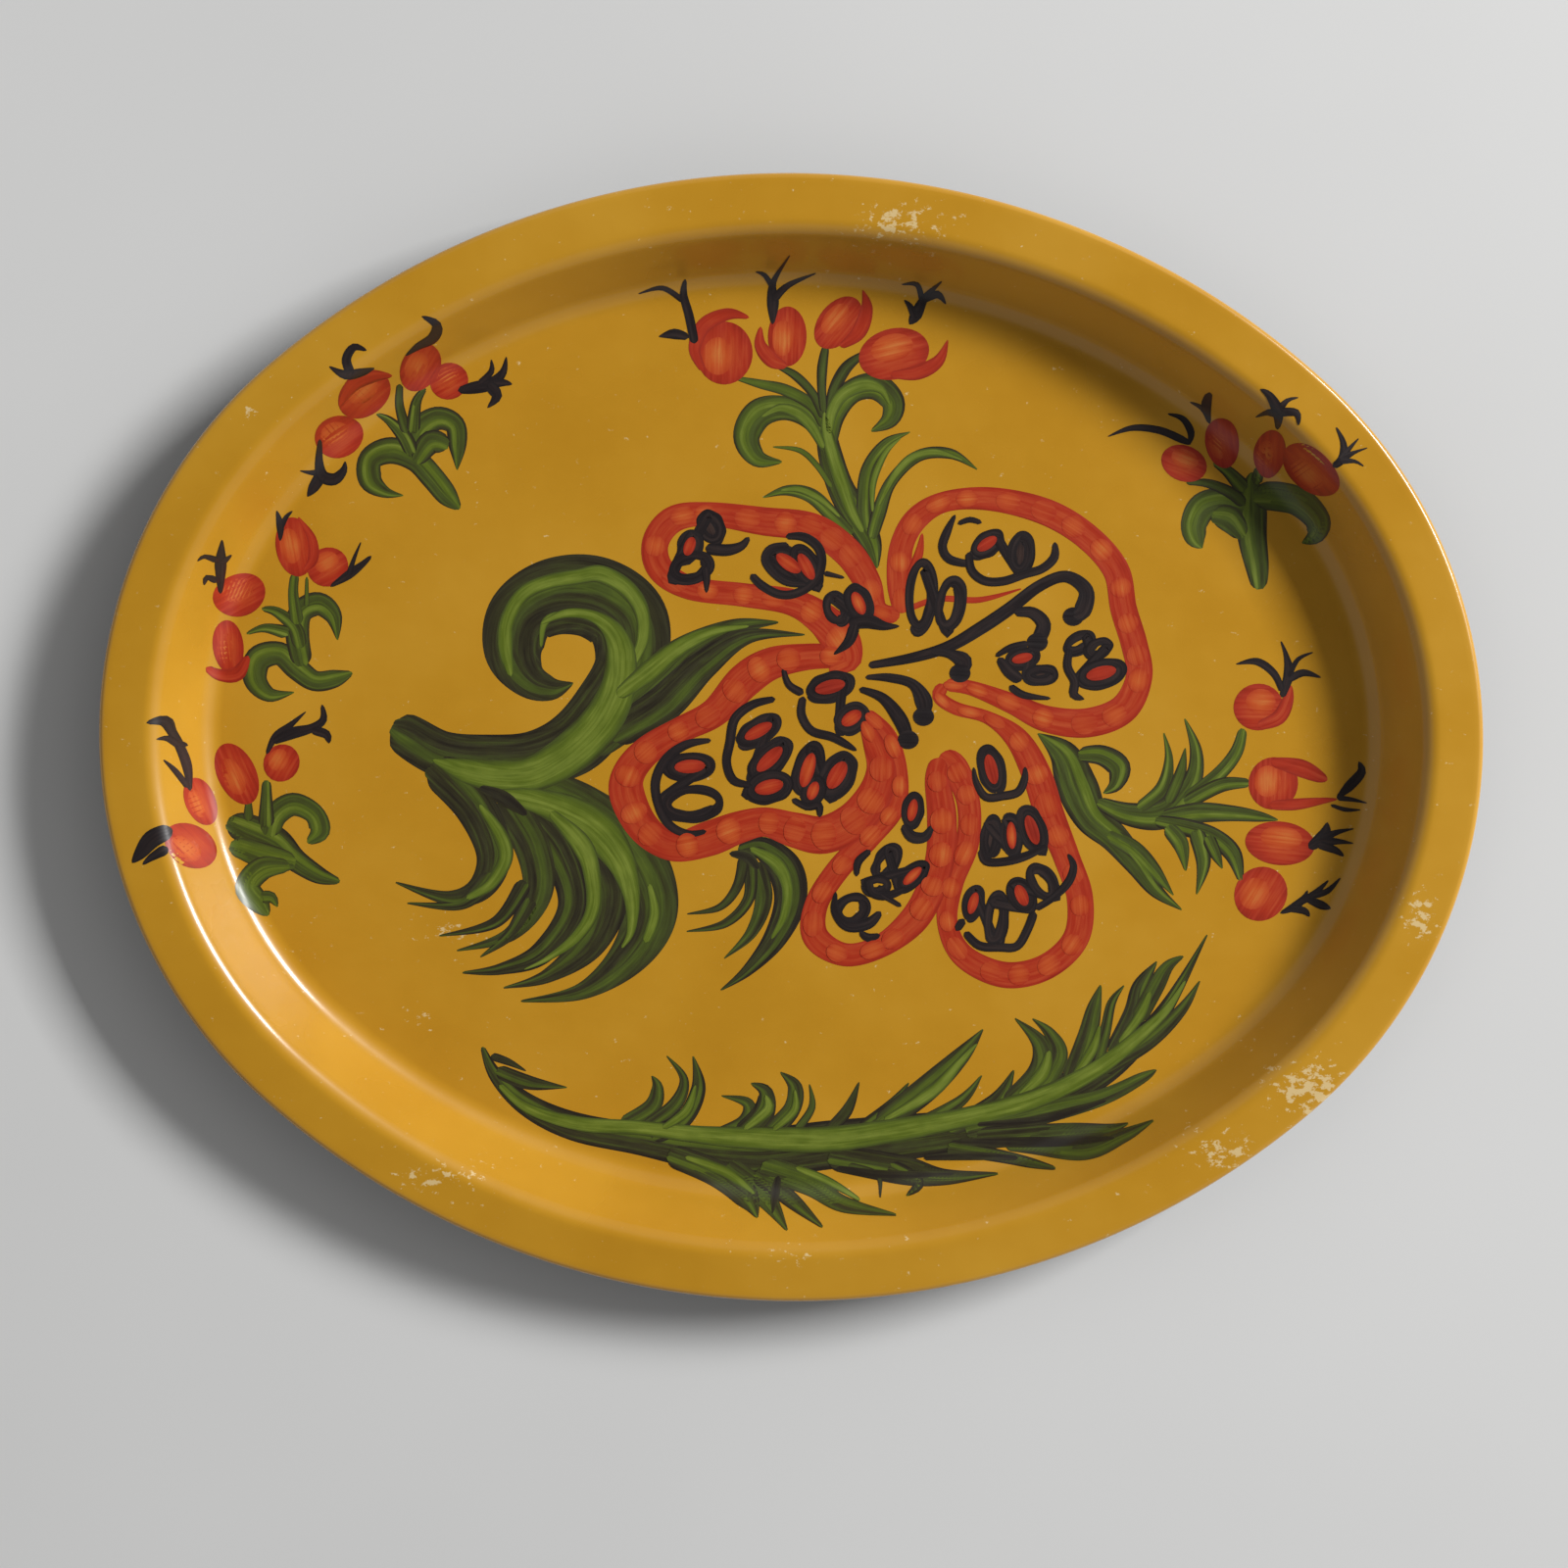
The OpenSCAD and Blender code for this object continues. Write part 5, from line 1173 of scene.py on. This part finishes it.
def add_world(strength):
    """A pale room that is darker straight above, where the camera stands."""
    world = bpy.data.worlds.new("studio")
    world.use_nodes = True
    tree = world.node_tree
    way = tree.nodes.new("ShaderNodeTexCoord")
    split = tree.nodes.new("ShaderNodeSeparateXYZ")
    ramp = tree.nodes.new("ShaderNodeValToRGB")
    pale, dim = (0.62, 0.62, 0.62, 1.0), (0.06, 0.06, 0.06, 1.0)
    low, high = ramp.color_ramp.elements
    low.position, low.color = 0.8, pale
    high.position, high.color = 0.93, dim
    background = tree.nodes["Background"]
    background.inputs["Strength"].default_value = strength
    tree.links.new(way.outputs["Generated"], split.inputs[0])
    tree.links.new(split.outputs["Z"], ramp.inputs[0])
    tree.links.new(ramp.outputs[0], background.inputs["Color"])
    bpy.context.scene.world = world


def add_floor():
    half = 2500
    below = -0.1
    corners = [(-half, -half, below), (half, -half, below), (half, half, below), (-half, half, below)]
    floor = new_object("studio_floor", corners, [(0, 1, 2, 3)], floor_material())


def add_camera():
    """A metre from the tray, almost straight above, a little towards its top edge, turned by a degree."""
    azimuth, tilt = math.radians(-1.5), math.radians(4.5)
    # In radians
    roll = 0.02146
    half_height = 0.012
    back = Vector((
        math.sin(azimuth) * math.cos(tilt),
        math.sin(tilt),
        math.cos(azimuth) * math.cos(tilt),
    ))
    right = Vector((0, 1, 0)).cross(back).normalized()
    up = back.cross(right)
    x_axis = right * math.cos(roll) + up * math.sin(roll)
    y_axis = up * math.cos(roll) - right * math.sin(roll)
    camera_data = bpy.data.cameras.new("camera")
    camera_data.lens = 68.4
    camera_data.sensor_width = 36
    camera_data.shift_x = -0.0066
    camera_data.shift_y = -0.0261
    camera = bpy.data.objects.new("camera", camera_data)
    bpy.context.scene.collection.objects.link(camera)
    turn = Matrix((x_axis, y_axis, back)).transposed()
    camera.matrix_world = Matrix.Translation(Vector((0, 0, half_height)) + back) @ turn.to_4x4()
    bpy.context.scene.camera = camera


# ---------------------------------------------------------------- build

GREEN_PAINT = paint_material("green_paint", GREEN_STOPS)
RED_PAINT = paint_material("red_paint", RED_STOPS)
BLACK_PAINT = paint_material("black_paint", BLACK_STOPS)

shell = build_shell(enamel_material())
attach(shell, "root")
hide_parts("tray_pan")

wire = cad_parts["rim_wire"]
wire.data.materials.clear()
wire.data.materials.append(steel_material())

# Each bouquet's second value seeds its random draws
paint_bouquet("top_bouquet", 1, TOP_BUDS, TOP_PETALS, TOP_LEAVES, TOP_SPRIGS, TOP_LIGHTS)
paint_bouquet("upper_left", 5, UPPER_LEFT_BUDS, UPPER_LEFT_PETALS, UPPER_LEFT_LEAVES, UPPER_LEFT_SPRIGS)
paint_bouquet(
    "middle_left", 9, MIDDLE_LEFT_BUDS, MIDDLE_LEFT_PETALS, MIDDLE_LEFT_LEAVES, MIDDLE_LEFT_SPRIGS)
paint_bouquet("lower_left", 13, LOWER_LEFT_BUDS, [], LOWER_LEFT_LEAVES, LOWER_LEFT_SPRIGS)
paint_bouquet("upper_right", 17, UPPER_RIGHT_BUDS, [], UPPER_RIGHT_LEAVES, UPPER_RIGHT_SPRIGS)
paint_bouquet("right_bouquet", 21, RIGHT_BUDS, RIGHT_PETALS, RIGHT_LEAVES, RIGHT_SPRIGS)
paint_leaves("scroll_leaf", 30, SCROLL_LEAF, SCROLL_LIGHTS, DARK_LEAF_TONES, SCROLL_BROWNS)
paint_leaves("small_leaf", 31, SMALL_LEAF, SMALL_LEAF_LIGHTS, DARK_LEAF_TONES, SMALL_LEAF_BROWNS)
paint_leaves("bottom_frond", 32, FROND, FROND_LIGHTS, FROND_TONES, FROND_BROWNS)
paint_pods()
paint_seeds()
paint_stamens()

add_floor()
add_world(0.5)
add_softbox("key", azimuth=28, elevation=31, distance=4.0, length=1.7, width=0.8, watts=195)
add_camera()
bpy.context.scene.view_settings.view_transform = "Standard"
